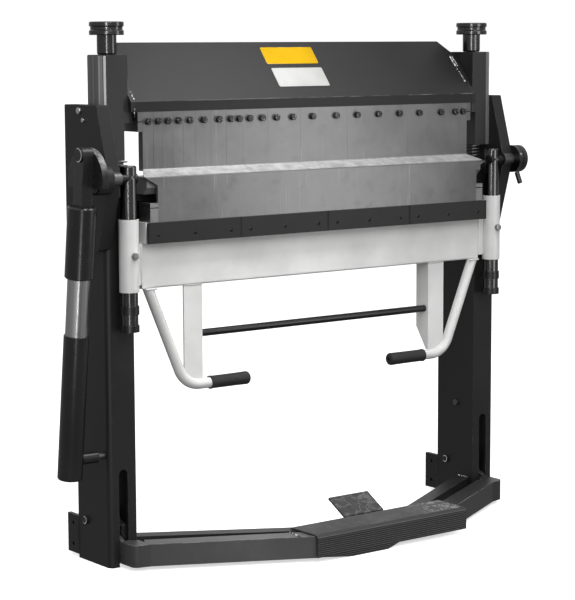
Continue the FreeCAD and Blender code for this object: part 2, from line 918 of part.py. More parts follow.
spring = make_spring()
shapes["lift_springs"] = pair(spring)
seat_y = spring_y - spring_seat_depth / 2
seat = block(column_inner_x, column_inner_x + spring_seat_width, seat_y, seat_y + spring_seat_depth,
             column_top, spring_seat_z)
seat_pin = rod_z(spring_x, spring_y, spring_seat_z, block_bottom - spring_pin_gap, spring_pin_radius)
shapes["spring_seats"] = pair(seat.fuse(seat_pin).removeSplitter())


# Pedal frame

def line_at_y(line, y):
    """The point of a plan line that has the given Y."""
    (x0, y0), (x1, y1) = line
    return x0 + (x1 - x0) * (y - y0) / (y1 - y0), y


def line_at_x(line, x):
    """The point of a plan line that has the given X."""
    (x0, y0), (x1, y1) = line
    return x, y0 + (y1 - y0) * (x - x0) / (x1 - x0)


def bar_edge_y(line, x, width, rear):
    """Y of the front or rear edge of a slanting bar at the given X."""
    (x0, y0), (x1, y1) = line
    half = width / 2 * math.hypot(x1 - x0, y1 - y0) / abs(x1 - x0)
    return line_at_x(line, x)[1] + (half if rear else -half)


def make_arm(side):
    """The arm inside the column slot, and the elbow that turns it into the slanting bar."""
    inner_x = side * (arm_outer_x - arm_thickness)
    outer_x = side * arm_outer_x
    throat_y = column_front_y - 3
    plate = prism_x([
        (throat_y - 8, bar_bottom),
        (column_front_y + 30, bar_bottom),
        (pedal_axle_y + 8, pedal_axle_z - arm_hub_radius + 2, 10.0),
        (pedal_axle_y + 8, pedal_axle_z + arm_hub_radius - 4, 10.0),
        (column_front_y + 30, bar_top + 18, 20.0),
        (throat_y, bar_top),
        (throat_y - 8, bar_top),
    ], inner_x, outer_x)
    hub = rod_x(side * (column_inner_x + column_plate + 2), side * (column_outer_x - column_plate - 2),
                pedal_axle_y, pedal_axle_z, arm_hub_radius - 4)
    line = bar_lines[side]
    elbow_x = side * bar_elbow_x
    slot_in = side * (slot_centre_x - slot_width / 2 + 0.5)
    slot_out = side * (slot_centre_x + slot_width / 2 - 0.5)
    nose_y = bar_edge_y(line, elbow_x, bar_width, False)
    elbow = prism_z([
        (slot_in, throat_y),
        (slot_in, bar_edge_y(line, slot_in, bar_width, True)),
        (elbow_x, bar_edge_y(line, elbow_x, bar_width, True)),
        (elbow_x, nose_y),
        (slot_out, nose_y + 10, bar_elbow_radius),
        (slot_out, throat_y),
    ], bar_bottom, bar_top)
    return plate.fuse(hub).fuse(elbow)


def channel_cut(start, end, width):
    """The hollow of a bar that is open below."""
    return plan_bar(start, end, width - 2 * bar_wall, bar_bottom - 1, bar_top - bar_wall)


def make_pedal_frame():
    solids = []
    cuts = []
    corners = {}
    for side in (-1, 1):
        line = bar_lines[side]
        start = line_at_x(line, side * bar_elbow_x)
        corner = line_at_y(line, cross_bar_y)
        corners[side] = corner
        solids.append(make_arm(side))
        solids.append(plan_bar(start, corner, bar_width, bar_bottom, bar_top))
        solids.append(rod_z(corner[0], corner[1], bar_bottom, bar_top, bar_width / 2))
        cuts.append(channel_cut(start, corner, bar_width))
    solids.append(plan_bar(corners[-1], corners[1], bar_width, bar_bottom, bar_top))
    cuts.append(channel_cut(corners[-1], corners[1], bar_width))
    frame = solids[0]
    for solid in solids[1:]:
        frame = frame.fuse(solid)
    for cut in cuts:
        frame = frame.cut(cut)
    for side in (-1, 1):
        frame = frame.cut(rod_x(side * (column_inner_x - 5), side * (column_outer_x + 5),
                                pedal_axle_y, pedal_axle_z, pedal_axle_radius + running_clearance))
    return frame.removeSplitter()


def make_inner_rails():
    """The second, inner bars, cut off beside the inner walls of the columns."""
    solids = []
    corners = {}
    for side in (-1, 1):
        line = rail_lines[side]
        corner = line_at_y(line, cross_rail_y)
        corners[side] = corner
        far = line_at_x(line, side * (inner_rail_reach + inner_rail_width))
        bar = plan_bar(corner, far, inner_rail_width, bar_bottom, bar_top)
        end = side * inner_rail_reach
        past = 3 * inner_rail_width
        solids.append(bar.cut(block(end, end + side * past, far[1] - past, far[1] + past,
                                    bar_bottom - 1, bar_top + 1)))
        solids.append(rod_z(corner[0], corner[1], bar_bottom, bar_top, inner_rail_width / 2))
    solids.append(plan_bar(corners[-1], corners[1], inner_rail_width, bar_bottom, bar_top))
    rail = solids[0]
    for solid in solids[1:]:
        rail = rail.fuse(solid)
    for x in (corners[-1][0] + link_inset, corners[1][0] - link_inset):
        rail = rail.fuse(block(x - link_width / 2, x + link_width / 2, cross_bar_y + bar_width / 2,
                               cross_rail_y, bar_bottom + 6, bar_top - 6))
    return rail.removeSplitter()


def make_tread():
    """L-shaped tread with ribs along its front."""
    back = tread_front_y + tread_depth
    low = tread_top - tread_height
    corners = [
        (back, tread_top),
        (back, tread_top - tread_thickness),
        (tread_front_y + tread_thickness, tread_top - tread_thickness, tread_round - tread_thickness),
        (tread_front_y + tread_thickness, low),
        (tread_front_y, low),
    ]
    z = low + tread_rib_pitch
    for i in range(tread_rib_count):
        corners.append((tread_front_y, z))
        corners.append((tread_front_y + tread_rib_depth, z + tread_rib_pitch * 0.2))
        corners.append((tread_front_y, z + tread_rib_pitch * 0.4))
        z += tread_rib_pitch
    corners.append((tread_front_y, tread_top, tread_round))
    return prism_x(corners, tread_left_x, tread_right_x)


def make_toe_plate():
    x1 = toe_plate_left_x + toe_plate_width
    plate = block(toe_plate_left_x, x1, 0, toe_plate_depth, 0, toe_plate_thickness)
    plate.rotate(Vector(0, 0, 0), Vector(1, 0, 0), toe_plate_tilt)
    plate.translate(Vector(0, toe_plate_front_y, toe_plate_front_z))
    rail_back = inner_rail_back_y
    middle = toe_plate_left_x + toe_plate_width / 2
    rib = prism_x([
        (rail_back, bar_bottom + 8),
        (rail_back, bar_top - 4),
        (toe_plate_front_y + 4, toe_plate_front_z + 3),
        (toe_plate_front_y + 4 + toe_rib_depth,
         toe_plate_front_z + 3 + toe_rib_depth * math.tan(math.radians(toe_plate_tilt))),
        (toe_plate_front_y + toe_rib_depth - 6, bar_bottom + 30, 8.0),
    ], middle - toe_rib_width / 2, middle + toe_rib_width / 2)
    return plate.fuse(rib).removeSplitter()


shapes["pedal_frame"] = make_pedal_frame()
shapes["pedal_inner_rail"] = make_inner_rails()
shapes["pedal_tread"] = make_tread()
shapes["toe_plate"] = make_toe_plate()
stub = rod_x(pull_bar_x - pull_bar_thickness / 2 - 3, arm_outer_x - arm_thickness, link_pin_y,
             link_pin_z, link_pin_radius)
shapes["link_pins"] = pair(stub)


# Bending shafts and spindles

def make_spindle():
    x = spindle_axis_x
    profile = [
        (0, spindle_bottom),
        (spindle_radius, spindle_bottom),
        (spindle_radius, spindle_top - spindle_chamfer),
        (spindle_radius - spindle_chamfer, spindle_top),
        (0, spindle_top),
    ]
    bar = turned_z(profile, x, spindle_y)
    return bar.cut(rod_x(x - spindle_radius - 1, x + spindle_radius + 1, 0, bend_height, shaft_radius))


def make_shaft(end_x):
    return rod_x(spindle_axis_x - spindle_radius + 3, end_x, 0, bend_height, shaft_radius)


def make_collars():
    pieces = []
    for top, height in ((collar_top, collar_height), (spindle_bottom + end_nut_height, end_nut_height)):
        ring = rod_z(spindle_axis_x, spindle_y, top - height, top, collar_radius)
        ring = ring.cut(rod_z(spindle_axis_x, spindle_y, top - height - 1, top + 1, spindle_radius))
        pieces += [ring, mirrored(ring)]
    return Part.makeCompound(pieces)


shapes["bend_spindles"] = pair(make_spindle())
left_shaft = mirrored(make_shaft(-crank_outer_x))
shapes["bend_shafts"] = Part.makeCompound([left_shaft, make_shaft(ring_end_x - shaft_cover)])
shapes["spindle_collars"] = make_collars()


def make_crank():
    """Half-round crank on the left shaft that the balance strut pulls on."""
    x0 = crank_outer_x
    x1 = crank_outer_x + crank_thickness
    disc = rod_x(x0, x1, 0, bend_height, crank_radius)
    disc = disc.cut(block(x0 - 1, x1 + 1, -crank_radius - 1, crank_radius + 1,
                          bend_height - crank_radius - 1, bend_height - 16))
    disc = disc.fuse(rod_x(x0, x1, 0, bend_height, crank_hub_radius))
    return disc.cut(rod_x(x0 - 1, x1 + 1, 0, bend_height, shaft_radius)).removeSplitter()


shapes["balance_crank"] = make_crank()


# Bending beam with its leaf

def make_apron():
    y0 = apron_front_y
    y1 = y0 + apron_depth
    w = apron_wall
    half = apron_half_length
    outside = [(y0, apron_bottom, 5.0), (y1, apron_bottom, 5.0), (y1, apron_top), (y0, apron_top)]
    inside = [(y0 + w, apron_bottom + w), (y1 - w, apron_bottom + w), (y1 - w, apron_top), (y0 + w, apron_top)]
    beam = prism_x(outside, -half, half).cut(prism_x(inside, -half - 1, half + 1))
    ledge = prism_x([(-leaf_gap, apron_top), (y1, apron_top), (y1, apron_top + 12, 4.0),
                     (ledge_depth - leaf_gap, apron_top + 18), (ledge_depth - leaf_gap, ledge_top),
                     (-leaf_gap, ledge_top)], -half, half)
    beam = beam.fuse(ledge)
    for side in (-1, 1):
        brace = block(side * (half - 10), side * half, y0, y1, apron_bottom + 1, apron_top)
        beam = beam.fuse(brace)
    return beam.removeSplitter()


def make_sleeve():
    x = spindle_axis_x
    tube = rod_z(x, spindle_y, sleeve_bottom, sleeve_top, sleeve_radius)
    plate = block(apron_half_length, x, apron_front_y, apron_front_y + joint_plate,
                  apron_bottom + 10, apron_top)
    bore = rod_z(x, spindle_y, sleeve_bottom - 1, sleeve_top + 1, spindle_radius + running_clearance)
    return tube.fuse(plate).cut(bore).removeSplitter()


def make_leaf():
    """Tall leaf plate whose top corners flare out to the horns of the end segments."""
    half = leaf_half_length
    top = bend_height - leaf_gap
    tip = half + leaf_horn_reach
    outline = [
        (-half, leaf_bottom),
        (half, leaf_bottom),
        (half, top - leaf_horn_drop),
        (tip, top - 1.5),
        (tip, top),
        (-tip, top),
        (-tip, top - 1.5),
        (-half, top - leaf_horn_drop),
    ]
    return prism_y(outline, -leaf_gap - leaf_thickness, -leaf_gap)


def make_leaf_rail():
    back = ledge_depth - leaf_gap
    front = -leaf_gap - leaf_thickness
    rail = block(-rail_half_length, rail_half_length, -leaf_gap, back, ledge_top, leaf_rail_top)
    for side in (-1, 1):
        lug = block(side * leaf_half_length, side * rail_half_length, front, -leaf_gap,
                    ledge_top, leaf_rail_top)
        slit_z = leaf_rail_top - leaf_rail_slit_drop
        slit = block(side * leaf_half_length, side * (rail_half_length + 1), front - 1,
                     front + 26, slit_z - rail_slit / 2, slit_z + rail_slit / 2)
        rail = rail.fuse(lug).cut(slit)
    return rail.removeSplitter()


def make_strips():
    front = -leaf_gap - leaf_thickness - strip_thickness
    length = 2 * strip_half_length / strip_count
    strips = []
    screws = []
    for i in range(strip_count):
        x0 = -strip_half_length + i * length
        strip = block(x0, x0 + length, front, front + strip_thickness, ledge_top - strip_height, ledge_top)
        for step in (-1, 0, 1):
            x = x0 + length / 2 + step * (length / 2 - strip_screw_margin)
            z = ledge_top - strip_height * 0.6
            strip = strip.cut(rod_y(x, front - 1, front + strip_thickness + 1, z, strip_screw_radius))
            head = rod_y(x, front + strip_thickness - strip_screw_head - 1, front + strip_thickness, z,
                         strip_screw_radius)
            screws.append(head)
        strips.append(strip)
    return Part.makeCompound(strips), Part.makeCompound(screws)


shapes["apron_beam"] = make_apron()
sleeve = make_sleeve()
shapes["apron_sleeves"] = pair(sleeve)
shapes["leaf"] = make_leaf()
shapes["leaf_rail"] = make_leaf_rail()
strips, strip_screws = make_strips()
shapes["leaf_strips"] = strips
shapes["strip_screws"] = strip_screws


# Handles, uprights and cross rod

def make_handle(radius):
    """Bent tube from the underside of the bending beam to the grip."""
    top = Vector(handle_top_x, handle_y, apron_bottom)
    corner = Vector(handle_bend_x, handle_y, handle_z)
    end = Vector(grip_inner_x + grip_cap, handle_y, handle_z)
    back = (top - corner).normalize()
    ahead = (end - corner).normalize()
    half = back.getAngle(ahead) / 2
    reach = handle_bend_radius / math.tan(half)
    first = corner + back * reach
    last = corner + ahead * reach
    middle = (back + ahead).normalize()
    centre = corner + middle * (handle_bend_radius / math.sin(half))
    arc = Part.Arc(first, centre - middle * handle_bend_radius, last).toShape()
    start = top + back * (1.5 * handle_radius)
    path = Part.Wire([Part.LineSegment(start, first).toShape(), arc, Part.LineSegment(last, end).toShape()])
    ring = Part.Wire(Part.makeCircle(radius, start, back))
    tube = path.makePipeShell([ring], True, False)
    trim = 4 * handle_radius
    over = block(handle_top_x - trim, handle_top_x + trim, handle_y - trim, handle_y + trim,
                 apron_bottom, apron_bottom + trim)
    return tube.cut(over)


def make_grip():
    tube = rod_x(grip_inner_x, grip_outer_x, handle_y, handle_z, grip_radius)
    tube = tube.makeFillet(5.0, [e for e in tube.Edges if e.Curve.TypeId == "Part::GeomCircle"])
    return tube.cut(rod_x(grip_inner_x + grip_cap, grip_outer_x + 1, handle_y, handle_z, handle_radius))


def make_upright(tube):
    x0 = upright_inner_x
    y0 = upright_front_y
    front = block(x0, x0 + upright_width, y0, y0 + upright_plate, handle_z, apron_bottom)
    flange = prism_x([
        (y0, handle_z),
        (y0 + upright_depth, upright_cut_z),
        (y0 + upright_depth, apron_bottom),
        (y0, apron_bottom),
    ], x0, x0 + upright_plate)
    angle = front.fuse(flange).cut(tube)
    angle = angle.cut(block(x0 - 1, x0 + upright_width + 1, y0 - 30, y0 + 60, handle_z - 30,
                            handle_z + handle_radius * 0.7))
    angle = angle.cut(rod_x(x0 - 1, x0 + upright_plate + 1, cross_rod_y, cross_rod_z, cross_rod_radius))
    solids = sorted(angle.Solids, key=lambda s: s.Volume)
    return solids[-1].removeSplitter()


handle_solid = make_handle(handle_radius)
handle = handle_solid
shapes["left_handle"] = mirrored(handle)
shapes["right_handle"] = handle
shapes["handle_grips"] = pair(make_grip())
shapes["apron_uprights"] = pair(make_upright(handle_solid))
rod_end = upright_inner_x + upright_plate + 6
shapes["cross_rod"] = rod_x(-rod_end, rod_end, cross_rod_y, cross_rod_z, cross_rod_radius)


# Angle stop on the right

def clamp_screw_rod(low, high, radius):
    """A rod on the clamp screw's axis, between two distances from the shaft's axis."""
    x = ring_start_x + ring_flange_length / 2
    rod = rod_z(x, 0, bend_height - high, bend_height - low, radius)
    rod.rotate(Vector(0, 0, bend_height), Vector(1, 0, 0), -clamp_screw_angle)
    return rod


def make_stop_ring():
    """Flange with the clamp screw, a groove, and the outer disc, turned as one piece."""
    x0 = ring_start_x
    x1 = x0 + ring_flange_length
    x2 = x1 + ring_groove_length
    x3 = ring_end_x
    profile = [
        (x0, 0.0),
        (x0, ring_radius),
        (x1, ring_radius),
        (x1, ring_groove_radius),
        (x2, ring_groove_radius),
        (x2, ring_radius),
        (x3 - ring_round, ring_radius),
        (x3, ring_radius - ring_round),
        (x3, 0.0),
    ]
    ring = turned_x(profile, 0, bend_height)
    ring = ring.cut(clamp_screw_rod(shaft_radius, ring_radius + 5, clamp_shank + running_clearance))
    return ring.cut(rod_x(x0 - 1, x3 - shaft_cover + body_gap, 0, bend_height,
                          shaft_radius + running_clearance))


def make_clamp_screw():
    end = ring_radius + clamp_screw_length
    head = clamp_screw_rod(ring_radius + 4, end, clamp_screw_radius)
    return head.fuse(clamp_screw_rod(shaft_radius + 3, ring_radius + 14, clamp_shank)).removeSplitter()


shapes["angle_stop_ring"] = make_stop_ring()
shapes["stop_clamp_screw"] = make_clamp_screw()


# Balance strut on the left

def lean(shape):
    """Lean a piece of the upright strut to its place about the foot pin."""
    shape.rotate(Vector(strut_x, strut_foot_y, strut_foot_z), Vector(1, 0, 0), strut_tilt)
    return shape


def strut_tube(bottom, top, radius, bore):
    x = strut_x
    y = strut_foot_y
    z = strut_foot_z
    tube = rod_z(x, y, z + bottom, z + top, radius)
    return tube.cut(rod_z(x, y, z + bottom - 1, z + top + 1, bore))


def make_lower_tube():
    x = strut_x
    y = strut_foot_y
    z = strut_foot_z
    tube = rod_z(x, y, z + lower_tube_bottom, z + lower_tube_top, lower_tube_radius)
    tube = tube.makeFillet(4.0, [e for e in tube.Edges
                                 if e.Curve.TypeId == "Part::GeomCircle"
                                 and e.BoundBox.ZMax < z + lower_tube_bottom + 1])
    tube = tube.cut(rod_z(x, y, z + lower_tube_bottom + 10, z + lower_tube_top + 1,
                          rod_tube_radius + running_clearance))
    boss_start = x + lower_tube_radius - 2
    boss = rod_x(boss_start, x + lower_tube_radius + foot_boss_length, y, z, foot_boss_radius)
    boss = boss.cut(rod_z(x, y, z - 60, z + 60, lower_tube_radius - 0.5))
    bore = rod_x(x + lower_tube_radius + 1, x + lower_tube_radius + foot_boss_length + 1, y, z,
                 foot_pin_radius + running_clearance)
    return tube.fuse(boss).cut(bore).removeSplitter()


def make_strut_head():
    x0 = strut_x - strut_head_width / 2
    x1 = strut_x + strut_head_width / 2
    y0 = strut_foot_y - strut_head_depth / 2
    y1 = strut_foot_y + strut_head_depth / 2
    top = strut_foot_z + strut_length + strut_head_over
    bar = prism_x([
        (y0, strut_foot_z + sleeve_tube_top),
        (y1, strut_foot_z + sleeve_tube_top),
        (y1, top, strut_head_depth / 2 - 0.1),
        (y0, top, strut_head_depth / 2 - 0.1),
    ], x0, x1)
    return bar.cut(rod_x(x0 - 1, x1 + 1, strut_foot_y, strut_foot_z + strut_length, strut_bolt_radius))


def make_head_bolt():
    x0 = strut_x - strut_head_width / 2
    z = strut_foot_z + strut_length
    shank = rod_x(x0, strut_x + strut_head_width / 2, strut_foot_y, z, strut_bolt_radius)
    ring = rod_x(x0 - strut_ring_height, x0, strut_foot_y, z, strut_ring_radius)
    return shank.fuse(ring).removeSplitter()


def make_sleeve_tube():
    z = strut_foot_z
    tube = strut_tube(sleeve_tube_bottom, sleeve_tube_top, sleeve_tube_radius, rod_tube_radius)
    cap = rod_z(strut_x, strut_foot_y, z + sleeve_tube_top - 8, z + sleeve_tube_top, sleeve_tube_radius)
    body = tube.fuse(cap).removeSplitter()
    rims = [e for e in body.Edges if e.Curve.TypeId == "Part::GeomCircle"
            and abs(e.Curve.Radius - sleeve_tube_radius) < 0.01
            and (e.BoundBox.ZMax < z + sleeve_tube_bottom + 1 or e.BoundBox.ZMin > z + sleeve_tube_top - 1)]
    return body.makeChamfer(3.0, rims)


shapes["strut_lower_tube"] = lean(make_lower_tube())
shapes["strut_rod_tube"] = lean(strut_tube(rod_tube_bottom, sleeve_tube_top - 8, rod_tube_radius,
                                           rod_tube_radius - strut_wall))
shapes["strut_sleeve"] = lean(make_sleeve_tube())
shapes["strut_head"] = lean(make_strut_head())
shapes["strut_head_bolt"] = lean(make_head_bolt())
pin_end = -column_outer_x + column_plate
shapes["strut_foot_pin"] = rod_x(strut_x + lower_tube_radius + 1.5, pin_end, strut_foot_y, strut_foot_z,
                                 foot_pin_radius)
left_column = shapes["left_column"]
shapes["left_column"] = left_column.cut(rod_x(-column_outer_x - 1, pin_end + 1, strut_foot_y,
                                              strut_foot_z, foot_pin_radius))


# The reference point is on the floor, under the middle of the machine's outline

middle_x = (strut_reach_x + ring_end_x) / 2
middle_y = (tread_front_y + lug_rear_y) / 2
os.makedirs("parts", exist_ok=True)
for name, shape in shapes.items():
    placed = shape.copy()
    placed.translate(Vector(-middle_x, -middle_y, 0))
    placed.exportStep("parts/" + name + ".step")
print("pieces", len(shapes), "middle", round(middle_x, 3), round(middle_y, 3))
print("strut tilt", round(strut_tilt, 4), "length", round(strut_length, 4))
print("link pin", round(link_pin_y, 3), round(link_pin_z, 3), "pedal angle", round(math.degrees(2 * pedal_start), 4))
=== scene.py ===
# %% [markdown]
# This lesson dresses a box and pan brake, a floor-standing sheet folder.
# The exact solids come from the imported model. Blender never moves them.
# It gives them finishes, and adds the screws, weld beads and rubber that a CAD source leaves out.

# %% Load the fixed frame
import json
import math
import random

import bmesh
import bpy
from mathutils import Matrix, Vector


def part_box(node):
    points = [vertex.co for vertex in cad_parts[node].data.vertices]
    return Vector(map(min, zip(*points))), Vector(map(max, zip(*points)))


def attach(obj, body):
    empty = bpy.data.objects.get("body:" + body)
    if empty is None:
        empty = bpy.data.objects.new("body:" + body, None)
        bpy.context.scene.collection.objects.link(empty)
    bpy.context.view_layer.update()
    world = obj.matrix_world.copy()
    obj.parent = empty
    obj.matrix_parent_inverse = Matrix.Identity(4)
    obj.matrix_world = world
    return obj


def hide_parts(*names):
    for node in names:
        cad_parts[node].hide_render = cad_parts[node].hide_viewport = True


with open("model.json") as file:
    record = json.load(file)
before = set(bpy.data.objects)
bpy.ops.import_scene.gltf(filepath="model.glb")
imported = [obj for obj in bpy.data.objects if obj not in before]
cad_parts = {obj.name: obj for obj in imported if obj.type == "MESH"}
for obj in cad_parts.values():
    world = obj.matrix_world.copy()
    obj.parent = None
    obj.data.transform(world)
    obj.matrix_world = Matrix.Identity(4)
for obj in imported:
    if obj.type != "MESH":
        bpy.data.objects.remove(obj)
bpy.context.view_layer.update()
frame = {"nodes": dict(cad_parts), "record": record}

nodes = frame["nodes"]

# %% [markdown]
# The part was drawn with Y at 0 on the bending line and X at 0 in the middle of the fingers.
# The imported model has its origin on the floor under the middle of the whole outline.
# One helper turns the workshop drawing's millimetres into the model's metres.

# %% Workshop millimetres to model metres
MM = 0.001
LEAF_GAP = 1.0
leaf_low, leaf_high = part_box("leaf")
drawing_x = (leaf_low.x + leaf_high.x) / 2
drawing_y = leaf_high.y + LEAF_GAP * MM


def at(x, y, z):
    """A point of the drawing, in millimetres, as a point of the model, in metres."""
    return Vector((drawing_x + x * MM, drawing_y + y * MM, z * MM))


print("drawing origin", round(drawing_x, 5), round(drawing_y, 5))

# %% [markdown]
# Shader maths is easier to read as sums than as boxes and wires.
# This class wraps one socket, so that `1 - mask * 0.5` adds the Math nodes by itself.

# %% Sockets that can be added and multiplied


class Socket:
    """A value in a node tree that understands + - and *."""

    def __init__(self, paint, socket):
        self.paint = paint
        self.socket = socket

    def join(self, operation, other, swapped=False):
        pair = (other, self) if swapped else (self, other)
        return self.paint.node("ShaderNodeMath", {"operation": operation}, {0: pair[0], 1: pair[1]})

    def __add__(self, other):
        return self.join("ADD", other)

    def __radd__(self, other):
        return self.join("ADD", other, True)

    def __sub__(self, other):
        return self.join("SUBTRACT", other)

    def __rsub__(self, other):
        return self.join("SUBTRACT", other, True)

    def __mul__(self, other):
        return self.join("MULTIPLY", other)


# %% [markdown]
# Each finish is one Paint: a material whose nodes are added by short methods, each named for what it gives.
# All of them start from the place on the machine, so that no mesh has to be unwrapped
# and a pattern runs on over neighbouring solids.

# %% One material's node tree


class Paint:
    """One material's node tree."""

    def __init__(self, name):
        self.material = bpy.data.materials.new(name)
        self.material.use_nodes = True
        self.tree = self.material.node_tree
        self.shader = self.tree.nodes["Principled BSDF"]
        self.place = self.node("ShaderNodeTexCoord", out="Object")

    def axis(self, letter):
        """One coordinate of the surface, in the model's metres."""
        return self.node("ShaderNodeSeparateXYZ", None, {0: self.place}, out=letter)

    def maths(self, operation, a, b=0.0):
        return self.node("ShaderNodeMath", {"operation": operation}, {0: a, 1: b})

    def across(self):
        """Place to the right of the machine's middle plane, in the drawing's millimetres."""
        return (self.axis("X") - drawing_x) * (1 / MM)

    def depth(self):
        """Place behind the bending line, in the drawing's millimetres."""
        return (self.axis("Y") - drawing_y) * (1 / MM)

    def height(self):
        """Place above the floor, in millimetres."""
        return self.axis("Z") * (1 / MM)

    def off_centre(self):
        """Distance from the machine's middle plane, in millimetres, on either side."""
        return self.size_of(self.across())

    def size_of(self, value):
        """A value without its sign."""
        return self.maths("ABSOLUTE", value)

    def node(self, kind, settings=None, inputs=None, out=0):
        made = self.tree.nodes.new(kind)
        for key, value in (settings or {}).items():
            if key == "stops":
                ramp = made.color_ramp
                while len(ramp.elements) < len(value):
                    ramp.elements.new(0.5)
                for element, (position, colour) in zip(ramp.elements, value):
                    element.position = position
                    element.color = colour
            else:
                setattr(made, key, value)
        for key, value in (inputs or {}).items():
            target = made.inputs[key]
            if isinstance(value, Socket):
                self.tree.links.new(value.socket, target)
            else:
                target.default_value = value
        return Socket(self, made.outputs[out])

    def stretched(self, scale):
        return self.node("ShaderNodeMapping", None, {"Vector": self.place, "Scale": scale}, out="Vector")

    def noise(self, scale, detail=3.0, rough=0.55, stretch=None):
        vector = self.place if stretch is None else self.stretched(stretch)
        return self.node("ShaderNodeTexNoise", None,
                         {"Vector": vector, "Scale": scale, "Detail": detail, "Roughness": rough})

    def band(self, value, low, high, to_low=0.0, to_high=1.0):
        return self.node("ShaderNodeMapRange", {"clamp": True},
                         {"Value": value, "From Min": low, "From Max": high,
                          "To Min": to_low, "To Max": to_high})

    def mix(self, factor, a, b):
        return self.node("ShaderNodeMix", {"data_type": "RGBA"},
                         {"Factor": factor, 6: a, 7: b}, out=2)

    def rounded(self, radius=0.8):
        """The surface direction as if every sharp edge had a small round, in millimetres."""
        return self.node("ShaderNodeBevel", {"samples": 4}, {"Radius": radius * MM}, out="Normal")

    def edges(self, radius=1.6):
        """1 on a sharp edge, 0 on a flat face."""
        flat = self.node("ShaderNodeNewGeometry", out="Normal")
        bent = self.node("ShaderNodeVectorMath", {"operation": "DOT_PRODUCT"},
                         {0: self.rounded(radius), 1: flat}, out="Value")
        return self.band(bent, 0.985, 0.90)

    def bump(self, height, strength, distance, rounding=1.0):
        return self.node("ShaderNodeBump", None,
                         {"Height": height, "Strength": strength, "Distance": distance,
                          "Normal": self.rounded(rounding)}, out="Normal")

    def finish(self, **sockets):
        for name, value in sockets.items():
            target = self.shader.inputs[name.replace("_", " ")]
            if isinstance(value, Socket):
                self.tree.links.new(value.socket, target)
            else:
                target.default_value = value
        return self.material


def rgb(value, tint=(1.0, 1.0, 1.0)):
    """A grey, or one tinted a little, as a colour with alpha."""
    return (value * tint[0], value * tint[1], value * tint[2], 1.0)


# %% [markdown]
# The machine's body is charcoal paint with a fine orange-peel surface. A flat colour would look like plastic.
# Noise at two sizes varies its grey, so that big faces aren't one flat tone.
# A third noise dulls the gloss in patches, as dust and handling do.
# Sharp edges are made lighter: partly rubbed paint, partly a painted highlight along them.

# %% Charcoal paint
CHARCOAL = (1.0, 1.0, 1.01)
PAINT_GREY = 0.013


def coat(p, grey, tint, gloss, dirt):
    """Colour and roughness of a sprayed paint, as two sockets."""
    cloud = p.noise(5.0, 4.0)
    wear = p.band(p.noise(38.0, 6.0, 0.7), 0.60, 0.78)
    base = p.mix(p.band(cloud, 0.35, 0.65), rgb(grey * 0.88, tint), rgb(grey * 1.12, tint))
    dusty = p.mix(wear * dirt, base, rgb(min(0.8, grey * 1.5 + 0.02), tint))
    # Lighter sharp edges: partly rubbed paint, partly a painted highlight.
    lightened = p.edges() * p.band(p.noise(26.0, 5.0, 0.7), 0.48, 0.62)
    colour = p.mix(lightened * 0.7, dusty, rgb(min(0.8, 0.16 + grey)))
    rough = gloss + p.band(cloud, 0.3, 0.7) * 0.08 + wear * 0.12
    return colour, rough


def painted(name, grey, tint, gloss, peel, dirt, shine=0.3):
    """A sprayed paint with its orange peel, or a film or rubber that is as even."""
    p = Paint(name)
    colour, rough = coat(p, grey, tint, gloss, dirt)
    return p.finish(Base_Color=colour, Roughness=rough, Specular_IOR_Level=shine,
                    Normal=p.bump(p.noise(900.0, 2.0), peel, 0.0004))


dark_paint = painted("charcoal_paint", PAINT_GREY, CHARCOAL, gloss=0.40, peel=0.25, dirt=0.25)
gloss_paint = painted("glossy_charcoal_paint", 0.010, CHARCOAL, gloss=0.22, peel=0.10, dirt=0.2, shine=0.5)
light_paint = painted("light_grey_paint", 0.68, (1.0, 1.0, 0.99), gloss=0.34, peel=0.10, dirt=0.10, shine=0.5)
print("paints", dark_paint.name, gloss_paint.name, light_paint.name)

# %% [markdown]
# Bare steel is rolled, ground or turned, and each leaves streaks in its own direction.
# A picture of steel would repeat and need unwrapping. A noise stretched along the streaks
# gives them in colour, gloss and height together, on any shape.

# %% Steel finishes
ROUND = (1.0, 1.0, 1.0)
ALONG_Z = (1.0, 1.0, 0.02)


def metal(p, grey, rough_low, rough_high, streak, streak_scale, stains, streaky=0.5):
    """Colour, roughness and streak height of bare steel, as three sockets."""
    fine = p.noise(streak_scale, 3.0, 0.6, streak)
    broad = p.noise(7.0, 4.0)
    spots = p.band(p.noise(24.0, 5.0, 0.65), 0.56, 0.75) * stains
    shade = p.band(fine, 0.3, 0.7) * streaky + p.band(broad, 0.35, 0.65) * (1 - streaky)
    base = p.mix(shade, rgb(grey * 0.84), rgb(grey * 1.14))
    colour = p.mix(spots, base, rgb(grey * 0.6, (1.0, 0.98, 0.95)))
    rough = p.band(fine, 0.25, 0.75, rough_low, rough_high) + p.band(broad, 0.3, 0.7) * 0.08
    return colour, rough, fine


def steel(name, grey, rough_low, rough_high, streak, streak_scale, stains=0.0, relief=0.12, bare=1.0):
    """Bare steel: how grey, how rough from streak to streak, how stained and how deep its relief is."""
    p = Paint(name)
    colour, rough, fine = metal(p, grey, rough_low, rough_high, streak, streak_scale, stains)
    return p.finish(Base_Color=colour, Metallic=bare, Roughness=rough, Normal=p.bump(fine, relief, 0.0003))


